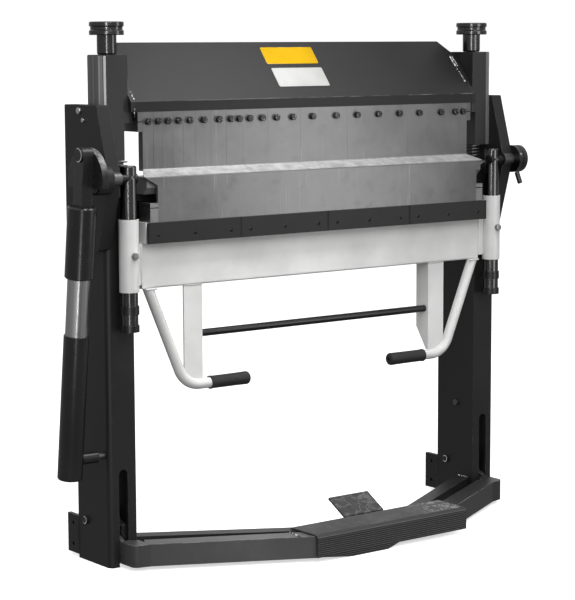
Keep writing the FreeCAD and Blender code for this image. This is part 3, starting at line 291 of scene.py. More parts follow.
ground_steel = steel("ground_steel", 0.19, 0.26, 0.36, ALONG_Z, 130.0, 0.4, 0.04, 0.75)
bright_steel = steel("turned_bright_steel", 0.50, 0.2, 0.34, ROUND, 500.0, 0.1)
screw_steel = steel("sleeve_screw_steel", 0.30, 0.22, 0.36, ROUND, 260.0, 0.4, 0.05, 0.7)
black_steel = steel("blackened_steel", 0.045, 0.24, 0.36, ROUND, 400.0, 0.2)
blued_steel = steel("dark_turned_steel", 0.085, 0.15, 0.17, ROUND, 14.0, 0.1, 0.0)
blade_steel = steel("dull_blade_steel", 0.20, 0.32, 0.45, ROUND, 120.0, 0.5, 0.1, 0.3)
dull_steel = steel("dull_steel", 0.13, 0.35, 0.5, ROUND, 300.0, 0.3)
print("steels", ground_steel.name, bright_steel.name, black_steel.name, blade_steel.name, dull_steel.name)

# %% [markdown]
# The leaf and the fingers are ground steel that has worked for years.
# Scratches could be thin meshes. The high tops of a noise drawn out along Z are simpler and never repeat.
# The fingers' foot is one band of height, rubbed brighter than the faces above it.

# %% Leaf and finger steel
FOOT_TOP = 941.0


def scratched(p, colour, amount):
    """A few thin light scratches that run up and down."""
    line = p.band(p.noise(160.0, 1.0, 0.4, (1.0, 1.0, 0.015)), 0.66, 0.72)
    return p.mix(line * p.band(p.noise(9.0, 3.0), 0.48, 0.6) * amount, colour, rgb(0.45))


def sheet_steel():
    """The tall leaf: dull ground sheet, blotched by hands and scratched by work."""
    p = Paint("ground_leaf_steel")
    colour, rough, fine = metal(p, 0.155, 0.28, 0.34, ALONG_Z, 130.0, 0.5, 0.2)
    return p.finish(Base_Color=scratched(p, colour, 0.22), Metallic=0.75, Roughness=rough,
                    Normal=p.bump(fine, 0.03, 0.0003))


def finger_steel():
    """Ground steel with dull faces and a foot rubbed bright by the sheets that were bent on it."""
    p = Paint("ground_finger_steel")
    colour, rough, fine = metal(p, 0.152, 0.29, 0.34, (1.0, 1.0, 0.04), 110.0, 0.35, 0.12)
    colour = scratched(p, colour, 0.1)
    height = p.height() + (p.noise(120.0, 3.0) - 0.5) * 3.0
    on_foot = p.band(height, FOOT_TOP + 1.5, FOOT_TOP - 1.5)
    bright = p.mix(p.band(p.noise(32.0, 5.0, 0.65), 0.38, 0.62), rgb(0.28), rgb(0.46))
    return p.finish(Base_Color=p.mix(on_foot, colour, bright), Metallic=0.75 - on_foot * 0.5,
                    Roughness=rough + on_foot * 0.1, Normal=p.bump(fine, 0.03, 0.0003, 0.2))


leaf_steel = sheet_steel()
finger_finish = finger_steel()
print("worn steel", leaf_steel.name, finger_finish.name)

# %% [markdown]
# The strut's rod is plated tube, and the finger screws are black from oil. One mask each is enough for both.
# A noise that changes only across the tube gives light and dark bands along it: partly drawing streaks,
# partly painted reflections. A mask of sharp edges paints glints on the screws' rims and sockets.

# %% Plated tube and oiled screws


def plated():
    """Plating, banded only by the place across the tube: partly drawing streaks, partly painted reflections.
    """
    p = Paint("plated_tube")
    # Light and dark bands: partly drawing streaks, partly painted reflections.
    streaks_and_reflections = p.noise(95.0, 3.0, 0.6, (1.0, 0.0, 0.0))
    colour = p.mix(p.band(streaks_and_reflections, 0.38, 0.62), rgb(0.2), rgb(0.62))
    return p.finish(Base_Color=colour, Metallic=1.0, Roughness=p.band(streaks_and_reflections, 0.3, 0.7, 0.26, 0.34))


def oiled_screws():
    """Oiled cap screws: dark, with painted glints in specks on the rim and the socket's edges."""
    p = Paint("oiled_screw_steel")
    colour, rough, fine = metal(p, 0.035, 0.2, 0.3, ROUND, 260.0, 0.6)
    # Specks on the sharp edges are painted glints.
    painted_glints = p.edges(1.2) * p.band(p.noise(190.0, 3.0, 0.6), 0.50, 0.58)
    return p.finish(Base_Color=p.mix(painted_glints, colour, rgb(0.42)), Metallic=0.85, Roughness=rough,
                    Normal=p.bump(fine, 0.05, 0.0003, 0.4))


plated_tube = plated()
oiled_steel = oiled_screws()
print("tube and screws", plated_tube.name, oiled_steel.name)

# %% [markdown]
# The pedal is what shoes touch. Its rubber is dusty, its plates are scraped in curls,
# and its paint is lighter grey towards the left arm. A mask painted by hand would miss the ribs,
# so masks counted from the same pitch as the ribs paint the grooves between them dark: painted shade.

# %% Rubber and paint under shoes
TREAD_LEFT = -197.0
TREAD_RIGHT = 281.0
TREAD_FRONT = -222.0
TREAD_BACK = -114.0
TREAD_LOW = 12.5
TREAD_TOP = 66.5
TREAD_GROOVE_PITCH = 5.0
RIB_PITCH = 6.0
FIRST_RIB = TREAD_LEFT + 4.0
LIGHTER_GREY_X = -312.0
LIGHTER_GREY_REACH = 400.0


def swirls(p, scale, width):
    """Thin curling scrape lines: the places where a noise crosses its middle value."""
    return p.band(p.size_of(p.noise(scale, 4.0, 0.6) - 0.5), width, width * 0.4)


def worn_mat():
    """Ribbed rubber: dusty, painted shade black between the ribs, and scraped pale where the foot comes down.
    """
    p = Paint("worn_mat_rubber")
    colour, rough = coat(p, 0.07, ROUND, 0.6, 0.6)
    across = p.across()
    turns = p.maths("FRACT", (across - FIRST_RIB) * (1.0 / RIB_PITCH) + 0.5)
    groove_shade = 1 - p.band(p.size_of(turns - 0.5), 0.34, 0.26)
    dust = p.band(p.noise(11.0, 4.0), 0.35, 0.65) * 0.4
    colour = p.mix(dust, colour, rgb(0.13))
    # The grooves between the ribs are painted nearly black: painted shade.
    colour = p.mix(groove_shade * 0.95, colour, rgb(0.004))
    scraped = swirls(p, 30.0, 0.022) * p.band(across, 150.0, 210.0)
    colour = p.mix(scraped * 0.9, colour, rgb(0.42))
    return p.finish(Base_Color=colour, Roughness=rough, Normal=p.bump(p.noise(700.0, 2.0), 0.3, 0.0004))


def scraped_plate():
    """The toe plate: charcoal paint with curling scrapes from boots."""
    p = Paint("scraped_plate_paint")
    colour, rough = coat(p, 0.025, CHARCOAL, 0.45, 0.6)
    marks = swirls(p, 24.0, 0.03) + swirls(p, 55.0, 0.02) * 0.5
    return p.finish(Base_Color=p.mix(marks * 0.6, colour, rgb(0.16)), Roughness=rough,
                    Normal=p.bump(p.noise(300.0, 3.0), 0.3, 0.0004))


def ribbed_front():
    """The tread's own plate, ribbed in paint on its front: lighter bands, partly dust and partly painted
    light, and black grooves of painted shade.
    """
    p = Paint("tread_front_rubber")
    colour, rough = coat(p, 0.02, ROUND, 0.5, 0.5)
    turns = p.maths("FRACT", (p.height() - TREAD_LOW) * (1.0 / TREAD_GROOVE_PITCH))
    # Painted ribs on a flat face: the black grooves are painted shade, the lighter bands partly dust, partly
    # painted light.
    painted_groove_shade = p.band(turns, 0.62, 0.54)
    front = p.band(p.depth(), TREAD_FRONT + 1.4, TREAD_FRONT + 1.0)
    colour = p.mix(front * (1 - painted_groove_shade), colour, rgb(0.075))
    colour = p.mix(front * painted_groove_shade, colour, rgb(0.001))
    return p.finish(Base_Color=colour, Roughness=rough, Normal=p.bump(p.noise(700.0, 2.0), 0.2, 0.0004))


def lighter_left_pedal():
    """Pedal paint, lighter grey towards the left arm, with lighter edges: partly wear, partly a painted
    highlight.
    """
    p = Paint("lighter_left_pedal_paint")
    colour, rough = coat(p, 0.018, CHARCOAL, 0.4, 0.4)
    # Lighter grey around the pedal's left part, fading with the distance across.
    near = p.band(p.size_of(p.across() - LIGHTER_GREY_X), LIGHTER_GREY_REACH, 0.0)
    cloud = p.band(p.noise(14.0, 4.0), 0.3, 0.7) * 0.3 + 0.7
    colour = p.mix(near * cloud, colour, rgb(0.095))
    # Lighter sharp edges: partly rubbed paint, partly a painted highlight.
    lightened = p.edges() * p.band(p.noise(26.0, 5.0, 0.7), 0.45, 0.58)
    colour = p.mix(lightened, colour, rgb(0.5))
    return p.finish(Base_Color=colour, Roughness=rough,
                    Normal=p.bump(p.noise(300.0, 2.0), 0.1, 0.0003))


rubber = painted("black_rubber", 0.018, ROUND, gloss=0.55, peel=0.4, dirt=0.1)
mat_rubber = worn_mat()
tread_rubber = ribbed_front()
toe_finish = scraped_plate()
pedal_finish = lighter_left_pedal()
print("pedal", mat_rubber.name, tread_rubber.name, toe_finish.name, pedal_finish.name)

# %% [markdown]
# Four strips meet end to end under the leaf. Their place along the machine, counted in strip lengths,
# gives the distance to the nearest joint, where the gap is painted black: painted shade between the strips.
# Their place along the machine, counted in strip lengths,
# gives the distance to the nearest joint, and the sawn ends there are blacker than the face.
# Weld beads were painted over and have worn bright in specks. The two plates are plain film.

# %% Strips, welds and plates
STRIP_LENGTH = 266.5
JOINT_REACH = 3.0


def strips_with_joint_shade():
    """Dark strips that meet end to end, painted black at each joint as the shade in the gap between them."""
    p = Paint("dark_strip_steel")
    colour, rough, fine = metal(p, 0.014, 0.45, 0.58, ROUND, 90.0, 0.3)
    turns = p.maths("FRACT", p.across() * (1.0 / STRIP_LENGTH) + 0.5)
    # Painted shade: black in the gap at each joint.
    joint_shade = p.band(p.size_of(turns - 0.5) * STRIP_LENGTH, JOINT_REACH, JOINT_REACH - 1.0)
    return p.finish(Base_Color=p.mix(joint_shade, colour, rgb(0.0005)), Metallic=0.4 - joint_shade * 0.4,
                    Roughness=rough + joint_shade * 0.4, Normal=p.bump(fine, 0.05, 0.0003))


def patchy_weld():
    """A bead that was painted over and has worn bright in specks."""
    p = Paint("painted_weld")
    colour, rough = coat(p, PAINT_GREY, CHARCOAL, 0.4, 0.2)
    bare = p.band(p.noise(190.0, 3.0, 0.6), 0.47, 0.53)
    return p.finish(Base_Color=p.mix(bare, colour, rgb(0.85)), Metallic=bare * 0.4, Roughness=rough,
                    Normal=p.bump(p.noise(500.0, 2.0), 0.3, 0.0004))


strip_steel = strips_with_joint_shade()
weld_metal = patchy_weld()
plate_yellow = painted("yellow_plate_film", 0.5, (0.95, 0.56, 0.0), gloss=0.6, peel=0.02, dirt=0.0, shine=0.1)
plate_white = painted("white_plate_film", 0.38, (1.0, 1.0, 0.98), gloss=0.6, peel=0.02, dirt=0.05, shine=0.1)
print("strips and plates", strip_steel.name, weld_metal.name, plate_yellow.name, plate_white.name)

# %% [markdown]
# Some solids are painted in one place and bare in another, and the paint's edge follows no edge of the mesh.
# So a mask from the place on the piece decides, and not two materials on two sets of faces.
# A ramp over the depth gives the polished bands that a slide block gets from its guides,
# and a painted highlight along its front edge.

# %% Part painted, part bare
UPPER_RAIL_BARE = 510.5
LEAF_RAIL_BARE = 500.5
BLOCK_OUTER_X = 600.7
BARE_STRIP_WIDTH = 11.0
block_low, block_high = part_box("slide_blocks")
BLOCK_FRONT_Y = (block_low.y - drawing_y) / MM
BLOCK_DEPTH = (block_high.y - block_low.y) / MM
# The first two stops, near the front edge, are a painted highlight; the rest are polished bands.
GUIDE_BANDS_AND_HIGHLIGHT = [(0.0, rgb(0.95)), (0.11, rgb(0.95)), (0.13, rgb(0.10)), (0.17, rgb(0.16)), (0.20, rgb(0.30)),
               (0.31, rgb(0.22)), (0.34, rgb(0.50)), (0.38, rgb(0.40)), (0.42, rgb(0.12)), (0.62, rgb(0.09)),
               (0.68, rgb(0.17)), (0.76, rgb(0.09)), (1.0, rgb(0.13))]


def half_bare(name, start, grey=0.4, streak=ALONG_Z):
    """Paint that ends at a distance from the machine's middle, with bare steel past it."""
    p = Paint(name)
    bare = p.band(p.off_centre(), start - 0.2, start + 0.2)
    paint_colour, paint_rough = coat(p, PAINT_GREY, CHARCOAL, 0.4, 0.25)
    steel_colour, steel_rough, fine = metal(p, grey, 0.28, 0.42, streak, 200.0, 0.4)
    colour = p.mix(bare, paint_colour, steel_colour)
    rough = paint_rough * (1 - bare) + steel_rough * bare
    return p.finish(Base_Color=colour, Metallic=bare, Roughness=rough, Normal=p.bump(fine, 0.08, 0.0003))


def guide_sides():
    """Slide blocks: painted, with the guided outer sides bare, polished in bands and given a painted
    highlight at the front.
    """
    p = Paint("slide_block_sides")
    wander = (p.noise(30.0, 3.0, 0.6, (1.0, 1.0, 0.1)) - 0.5) * 3.0
    depth = p.depth() - BLOCK_FRONT_Y + wander
    bands_and_highlight = p.node("ShaderNodeValToRGB", {"stops": GUIDE_BANDS_AND_HIGHLIGHT}, {0: depth * (1.0 / BLOCK_DEPTH)})
    side = p.band(p.off_centre(), BLOCK_OUTER_X - 0.3, BLOCK_OUTER_X - 0.1)
    strip_edge = BLOCK_OUTER_X - BARE_STRIP_WIDTH
    strip = p.band(p.across(), strip_edge - 0.5, strip_edge)
    paint_colour, paint_rough = coat(p, PAINT_GREY, CHARCOAL, 0.4, 0.25)
    steel_colour, steel_rough, fine = metal(p, 0.16, 0.28, 0.42, ALONG_Z, 200.0, 0.4)
    colour = p.mix(strip, paint_colour, steel_colour)
    colour = p.mix(side, colour, bands_and_highlight)
    bare = p.maths("MAXIMUM", side, strip)
    rough = paint_rough * (1 - bare) + steel_rough * bare
    return p.finish(Base_Color=colour, Metallic=bare * 0.2, Roughness=rough,
                    Normal=p.bump(fine, 0.08, 0.0003, 0.2))


block_finish = guide_sides()
upper_rail_finish = half_bare("finger_rail_ends", UPPER_RAIL_BARE, 0.15, ROUND)
leaf_rail_finish = half_bare("leaf_rail_ends", LEAF_RAIL_BARE, 0.26, ROUND)
print("block depth", round(BLOCK_DEPTH, 1), "rails bare past", UPPER_RAIL_BARE, "and", LEAF_RAIL_BARE)

# %% [markdown]
# Three finishes are tied to one place: a line along the beam's fold, partly wear, partly painted highlight,
# a painted glint ring on the ends of the bolts, and a painted highlight on the top of the crank.
# A picture could hold the marks, but the mask is exact: it is the distance from a line, a centre or a height.

# %% Fold line, bolt glints and crank highlight
FOLD_Y = 38.5
FOLD_Z = 1099.0
CRANK_HIGHLIGHT_LOW = 940.0


def folded_sheet():
    """Charcoal paint with a thin lighter line along the beam's fold, stronger to the right: partly rubbed
    paint, partly a painted highlight.
    """
    p = Paint("beam_paint")
    colour, rough = coat(p, PAINT_GREY, CHARCOAL, 0.38, 0.25)
    height = p.height() + (p.noise(45.0, 4.0) - 0.5) * 3.0
    line = p.band(p.size_of(height - (FOLD_Z + 0.5)), 1.2, 0.5)
    front = p.band(p.depth(), FOLD_Y + 3.0, FOLD_Y + 2.0)
    rightwards = p.band(p.across(), -400.0, 300.0, 0.08, 0.3)
    # The lighter fold line is partly rubbed paint, partly a painted highlight.
    fold_wear_and_highlight = line * front * p.band(p.noise(18.0, 5.0), 0.40, 0.60) * rightwards
    colour = p.mix(fold_wear_and_highlight, colour, rgb(0.4))
    return p.finish(Base_Color=colour, Roughness=rough, Specular_IOR_Level=0.22,
                    Normal=p.bump(p.noise(900.0, 2.0), 0.25, 0.0004))


def ringed_bolt(node):
    """A black bolt end with a thin ring on its chamfer, brighter towards the front: a painted highlight."""
    low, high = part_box(node)
    middle = (low + high) / 2
    edge = (high.z - middle.z) / MM
    p = Paint(node + "_end")
    colour, rough, fine = metal(p, 0.03, 0.3, 0.42, ROUND, 300.0, 0.2)
    back = (p.axis("Y") - middle.y) * (1 / MM)
    rise = (p.axis("Z") - middle.z) * (1 / MM)
    radius = p.maths("SQRT", back * back + rise * rise)
    # A painted highlight ring, fading towards the back.
    glint_ring = p.band(p.size_of(radius - (edge - 1.6)), 1.1, 0.7)
    glint_ring = glint_ring * p.band(p.noise(45.0, 3.0) * 0.4 - back * 0.03, 0.0, 0.2)
    return p.finish(Base_Color=p.mix(glint_ring, colour, rgb(0.8)), Metallic=0.5, Roughness=rough,
                    Normal=p.bump(fine, 0.1, 0.0003))


def crank_with_painted_highlight():
    """The crank between shaft and strut: glossy paint, with a painted highlight in patches on top of its rim.
    """
    p = Paint("crank_paint")
    colour, rough = coat(p, 0.010, CHARCOAL, 0.24, 0.2)
    facing = p.node("ShaderNodeNewGeometry", out="Normal")
    sideways = p.size_of(p.node("ShaderNodeSeparateXYZ", None, {0: facing}, out="X"))
    # Faces that don't face sideways, above a height, get a painted highlight in patches.
    rim = p.band(sideways, 0.5, 0.3) * p.band(p.height(), CRANK_HIGHLIGHT_LOW, CRANK_HIGHLIGHT_LOW + 30.0)
    lightened = rim * p.band(p.noise(60.0, 5.0, 0.7), 0.38, 0.6)
    return p.finish(Base_Color=p.mix(lightened, colour, rgb(0.22)), Roughness=rough, Specular_IOR_Level=0.5,
                    Normal=p.bump(p.noise(700.0, 2.0), 0.1, 0.0004))


beam_finish = folded_sheet()
crank_finish = crank_with_painted_highlight()
print("marked places", beam_finish.name, crank_finish.name)

# %% [markdown]
# Each solid takes the finish of its material slot, unless it has one of its own.
# Two tables are easier to check than one line of code for each solid.

# %% Give each solid its finish
finish_of = {
    "dark_paint": dark_paint,
    "light_paint": light_paint,
    "ground_steel": ground_steel,
    "bright_steel": dull_steel,
    "plated_tube": plated_tube,
    "black_steel": black_steel,
    "black_grip": rubber,
    "bush_bronze": dull_steel,
}
own_finish = {
    "slide_blocks": block_finish,
    "upper_rail": upper_rail_finish,
    "leaf_rail": leaf_rail_finish,
    "beam_shell": beam_finish,
    "bend_spindles": blued_steel,
    "strut_sleeve": gloss_paint,
    "strut_lower_tube": gloss_paint,
    "strut_head": gloss_paint,
    "balance_crank": crank_finish,
    "leaf_strips": strip_steel,
    "strut_head_bolt": ringed_bolt("strut_head_bolt"),
    "pedal_axles": ringed_bolt("pedal_axles"),
    "leaf": leaf_steel,
    "lower_blade": blade_steel,
    "angle_stop_ring": blued_steel,
    "toe_plate": toe_finish,
    "pedal_tread": tread_rubber,
    "pedal_frame": pedal_finish,
}
for node in nodes:
    if node.startswith("segments_"):
        own_finish[node] = finger_finish
for part in frame["record"]["subparts"]:
    mesh = nodes[part["node"]].data
    mesh.materials.clear()
    mesh.materials.append(own_finish.get(part["node"], finish_of[part["material_slot"]]))
print("own finishes", len(own_finish), "materials", len(bpy.data.materials))

# %% [markdown]
# Every added piece is drawn in workshop millimetres and moved to its place in one step.
# Its object then stays at the origin.
# A turned piece is a half outline spun about its axis, as it would be on a lathe.

# %% Helpers that make pieces
SHARP = math.radians(32.0)
to_model = Matrix.Translation(at(0, 0, 0)) @ Matrix.Scale(MM, 4)
chance = random.Random(11)


def place_piece(name, bm, body, finish):
    """Turn a mesh drawn in workshop millimetres into a named piece on one body."""
    bmesh.ops.transform(bm, matrix=to_model, verts=bm.verts)
    mesh = bpy.data.meshes.new(name)
    bm.to_mesh(mesh)
    bm.free()
    mesh.shade_smooth()
    mesh.set_sharp_from_angle(angle=SHARP)
    mesh.materials.append(finish)
    made = bpy.data.objects.new(name, mesh)
    bpy.context.scene.collection.objects.link(made)
    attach(made, body)
    print(name, "faces", len(mesh.polygons))
    return made


def join(bm, part, place, direction=(0, 0, 1)):
    """Add a small mesh to a bigger one, with its Z axis turned to a direction."""
    turn = Vector(direction).to_track_quat("Z", "Y").to_matrix().to_4x4()
    bmesh.ops.transform(part, matrix=Matrix.Translation(place) @ turn, verts=part.verts)
    mesh = bpy.data.meshes.new("part")
    part.to_mesh(mesh)
    part.free()
    bm.from_mesh(mesh)
    bpy.data.meshes.remove(mesh)


def turned(outline, steps=24):
    """Spin a half outline of (radius, height) corners about +Z."""
    part = bmesh.new()
    verts = [part.verts.new((radius, 0, height)) for radius, height in outline]
    edges = [part.edges.new(pair) for pair in zip(verts, verts[1:])]
    bmesh.ops.spin(part, geom=verts + edges, cent=(0, 0, 0), axis=(0, 0, 1), angle=math.tau,
                   steps=steps, use_merge=True)
    bmesh.ops.remove_doubles(part, verts=part.verts, dist=0.001)
    bmesh.ops.recalc_face_normals(part, faces=part.faces)
    return part


def face_at(part, height):
    """The biggest flat face at a height."""
    level = [f for f in part.faces if all(abs(v.co.z - height) < 0.001 for v in f.verts)]
    return max(level, key=lambda f: f.calc_area())


def push_out(part, face, rise):
    """Extrude one face and move it along Z."""
    made = bmesh.ops.extrude_face_region(part, geom=[face])["geom"]
    moved = [g for g in made if isinstance(g, bmesh.types.BMVert)]
    bmesh.ops.translate(part, verts=moved, vec=(0, 0, rise))


# %% [markdown]
# The finger bolts are cap screws: a short cylinder with a small chamfer and a hexagon socket.
# The socket starts as a round inset. Its corners then slide out to a hexagon, and the face is pushed in.
# A boolean cut would leave long thin faces instead. The screws replace the plain heads of the CAD model.

# %% Cap screws
FINGER_WIDTHS = (30, 25, 30, 30, 35, 45, 45, 50, 75, 100, 150, 200, 150, 25, 30)
FINGER_FRONT_Y = 38.5
BOLT_Z = 1053.0
SCREW_RADIUS = 8.2
SCREW_HEIGHT = 8.0
SOCKET_ACROSS = 9.4
SOCKET_DEPTH = 5.0
WIDEST_WITH_ONE = 45
WIDTH_WITH_THREE = 200
OUTER_SCREW = 70


def cap_screw(radius, height, across, depth):
    """A cylinder head with a hexagon socket, standing on Z 0."""
    part = bmesh.new()
    bmesh.ops.create_circle(part, cap_ends=True, segments=24, radius=radius)
    push_out(part, part.faces[:][0], height)
    rim = list(face_at(part, height).edges)
    bmesh.ops.bevel(part, geom=rim, offset=radius * 0.13, offset_type="OFFSET", affect="EDGES",
                    segments=2, profile=0.5, material=-1)
    top = face_at(part, height)
    bmesh.ops.inset_region(part, faces=[top], thickness=radius * 0.2, depth=0.0)
    for vert in top.verts:
        angle = math.atan2(vert.co.y, vert.co.x) % (math.pi / 3) - math.pi / 6
        reach = across / 2 / math.cos(angle)
        vert.co.xy = vert.co.xy.normalized() * reach
    push_out(part, top, -depth)
    bmesh.ops.recalc_face_normals(part, faces=part.faces)
    return part


def screw_places(width, left):
    """Where the screws of one finger sit along X."""
    middle = left + width / 2
    if width <= WIDEST_WITH_ONE:
        return [middle]
    if width == WIDTH_WITH_THREE:
        return [middle - OUTER_SCREW, middle, middle + OUTER_SCREW]
    return [middle - width * 0.25, middle + width * 0.25]


bm = bmesh.new()
left = -sum(FINGER_WIDTHS) / 2
for width in FINGER_WIDTHS:
    for x in screw_places(width, left):
        screw = cap_screw(SCREW_RADIUS, SCREW_HEIGHT, SOCKET_ACROSS, SOCKET_DEPTH)
        join(bm, screw, (x, FINGER_FRONT_Y, BOLT_Z), (0, -1, 0))
    left += width
finger_screws = place_piece("finger_screws", bm, "clamp_beam", oiled_steel)
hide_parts("segment_bolts")

# %% [markdown]
# The dark strips under the leaf are held by countersunk screws that end flush.
# A cap screw sunk in the strip until only its face shows is enough for heads 9 mm wide.

# %% Strip screws
STRIP_FRONT_Y = -15.0
STRIP_SCREW_Z = 790.6
STRIP_COUNT = 4
STRIP_SCREW_SPACING = 104.0
STRIP_HEAD_HEIGHT = 2.2
STRIP_HEAD_RECESS = 0.2


def countersunk():
    """A flush screw head with a hexagon socket, its face on Z 0."""
    part = cap_screw(radius=4.4, height=STRIP_HEAD_HEIGHT, across=3.0, depth=1.6)
    bmesh.ops.translate(part, verts=part.verts, vec=(0, 0, -STRIP_HEAD_HEIGHT - STRIP_HEAD_RECESS))
    return part


bm = bmesh.new()
for strip in range(STRIP_COUNT):
    middle = (strip - (STRIP_COUNT - 1) / 2) * STRIP_LENGTH
    for step in (-1, 0, 1):
        x = middle + step * STRIP_SCREW_SPACING
        join(bm, countersunk(), (x, STRIP_FRONT_Y, STRIP_SCREW_Z), (0, -1, 0))
strip_heads = place_piece("strip_screw_heads", bm, "apron", black_steel)
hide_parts("strip_screws")

# %% [markdown]
# Each sleeve of the bending beam is clamped on its spindle by one screw at the front.
# The cheeks have two screws each on the outside, which hold the guides of the slide blocks.
# One cap screw in three sizes serves for all of them.

# %% Clamp screws and cheek screws
SPINDLE_X = 572.0
SLEEVE_FRONT_Y = -15.0
SLEEVE_SCREW_Z = 746.0
CHEEK_FACE_X = 634.0
CHEEK_SCREWS = ((117.0, 1079.0, 8.0), (98.0, 1057.5, 5.5))

bm = bmesh.new()
for side in (-1, 1):
    screw = cap_screw(radius=8.0, height=9.0, across=8.0, depth=5.0)
    join(bm, screw, (side * SPINDLE_X, SLEEVE_FRONT_Y, SLEEVE_SCREW_Z), (0, -1, 0))
place_piece("sleeve_screws", bm, "apron", screw_steel)

bm = bmesh.new()
for side in (-1, 1):
    for y, z, radius in CHEEK_SCREWS:
        screw = cap_screw(radius, height=4.0, across=radius, depth=2.5)
        join(bm, screw, (side * CHEEK_FACE_X, y, z), (side, 0, 0))
place_piece("cheek_screws", bm, "frame", bright_steel)

# %% [markdown]
# One small grub screw sits in the angle stop's flange, and the long clamp screw ends in a turned cap.
# Both stand out from the shaft's middle, each along its own direction.

# %% Grub screw and screw cap
STOP_CENTRE = Vector((641.0, 0, 925.0))
FLANGE_RADIUS = 35.2
GRUB_SIDE = Vector((0.0, -0.93, 0.36)).normalized()
SCREW_LEAN = math.radians(25.0)
CAP_START = 50.0

bm = bmesh.new()
grub = cap_screw(radius=3.6, height=1.6, across=3.0, depth=1.2)
join(bm, grub, STOP_CENTRE + GRUB_SIDE * FLANGE_RADIUS, GRUB_SIDE)
place_piece("stop_grub_screw", bm, "angle_stop", bright_steel)

bm = bmesh.new()
cap = [(0, 0), (5.6, 0), (6.6, 1.0), (6.6, 19.0), (5.6, 20.0), (0, 20.0)]
down = Vector((0, -math.sin(SCREW_LEAN), -math.cos(SCREW_LEAN)))
join(bm, turned(cap), STOP_CENTRE + down * CAP_START, down)
place_piece("stop_screw_cap", bm, "stop_screw", black_steel)

# %% [markdown]
# The adjusting knobs are turned from one bar: a head with a shallow grip groove, and a plain stem.
# The CAD knob has a deeper groove and a neck, so a finer turning stands in for it.

# %% Adjusting knobs
KNOB_Y = 90.5
KNOB_TOP = 1284.3
KNOB_RADIUS = 40.7
KNOB_FOOT = 1208.3
KNOB_HEAD_HEIGHT = 31.0
GROOVE_DEPTH = 2.9
STEM_RADIUS = 23.0
THREAD_RADIUS = 12.0
THREAD_END = KNOB_FOOT - 70.0
groove_radius = KNOB_RADIUS - GROOVE_DEPTH
head = [(0, KNOB_TOP), (KNOB_RADIUS - 2.4, KNOB_TOP), (KNOB_RADIUS, KNOB_TOP - 2.0)]
head += [(KNOB_RADIUS, KNOB_TOP - 10.0), (groove_radius, KNOB_TOP - 12.0)]
head += [(groove_radius, KNOB_TOP - 18.5), (KNOB_RADIUS, KNOB_TOP - 21.5)]
head += [(KNOB_RADIUS, KNOB_TOP - 29.5), (KNOB_RADIUS - 1.5, KNOB_TOP - KNOB_HEAD_HEIGHT)]
stem = [(STEM_RADIUS, KNOB_TOP - KNOB_HEAD_HEIGHT), (STEM_RADIUS, KNOB_FOOT + 3.0)]
stem += [(STEM_RADIUS - 2.5, KNOB_FOOT), (THREAD_RADIUS, KNOB_FOOT)]
stem += [(THREAD_RADIUS, THREAD_END), (0, THREAD_END)]
for side, node in ((-1, "left_knob"), (1, "right_knob")):
    bm = bmesh.new()
    join(bm, turned(head + stem, 48), (side * SPINDLE_X, KNOB_Y, 0))
    knob = place_piece(node.replace("knob", "turned_knob"), bm, node, blued_steel)
    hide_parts(node)

# %% [markdown]
# Pins hold the bending shafts in the spindle heads and show as small discs at the front.
# A shallow ring round each disc is the chamfer of its hole, and one lathe outline gives both.

# %% Spindle pins
SPINDLE_HEAD_FRONT_Y = -12.0
PIN_Z = 927.0
pin = [(0, 0.6), (2.6, 0.6), (3.0, 0.2), (3.4, 0.2), (4.4, 0.9), (5.0, 0.3), (5.0, -1.5), (0, -1.5)]
bm = bmesh.new()
for side in (-1, 1):
    join(bm, turned(pin, 20), (side * SPINDLE_X, SPINDLE_HEAD_FRONT_Y, PIN_Z), (0, -1, 0))
place_piece("spindle_pins", bm, "swing_spindles", dull_steel)

# %% [markdown]
# Welds are rows of overlapping ripples. Each bead here is an eight-sided ring, extruded step by step,
# and every second ring is drawn in, so that the bead swells and narrows like a real one.
# A bump on a smooth rod would be cheaper, but its outline would stay straight.

# %% Weld beads


def weld(bm, start, end, width, wander=0.12):
    """A bead from one point to another, half sunk in the joint."""
    start = Vector(start)
    run = Vector(end) - start
    pitch = width * 0.42
    steps = max(4, round(run.length / pitch))
    part = bmesh.new()
    bmesh.ops.create_circle(part, cap_ends=True, segments=8, radius=width * 0.34)
    edges = part.edges[:]
    size = 0.34
    for step in range(1, steps + 1):
        made = bmesh.ops.extrude_edge_only(part, edges=edges)["geom"]
        verts = [g for g in made if isinstance(g, bmesh.types.BMVert)]
        edges = [g for g in made if isinstance(g, bmesh.types.BMEdge)
                 and g.verts[0] in verts and g.verts[1] in verts]
        wanted = 0.5 if step % 2 else 0.4
        if step == steps:
            wanted = 0.3
        wanted *= 1.0 + chance.uniform(-wander, wander)
        bmesh.ops.translate(part, verts=verts, vec=(0, 0, run.length / steps))
        bmesh.ops.scale(part, verts=verts, vec=(wanted / size, wanted / size, 1.0))
        size = wanted
    bmesh.ops.contextual_create(part, geom=edges)
    bmesh.ops.recalc_face_normals(part, faces=part.faces)
    join(bm, part, start, run)


# %% [markdown]
# The beads lie where two plates meet: at the beam's end plates, down the lugs and under the cheeks,
# along the apron's sleeves and at the pedal's bars. Their places are measured in the photograph.
# A welder's hand is less steady at the awkward joints, which get a more uneven bead.

# %% Where the welds lie
UNEVEN = 0.3
SLOPE = Vector((0, 110.0, 137.0)).normalized()
BEAM_END_X = 530.0


def on_slope(x, along):
    """A point on the beam's slanting face, by its distance up from the fold."""
    return Vector((x, FOLD_Y, FOLD_Z)) + SLOPE * along


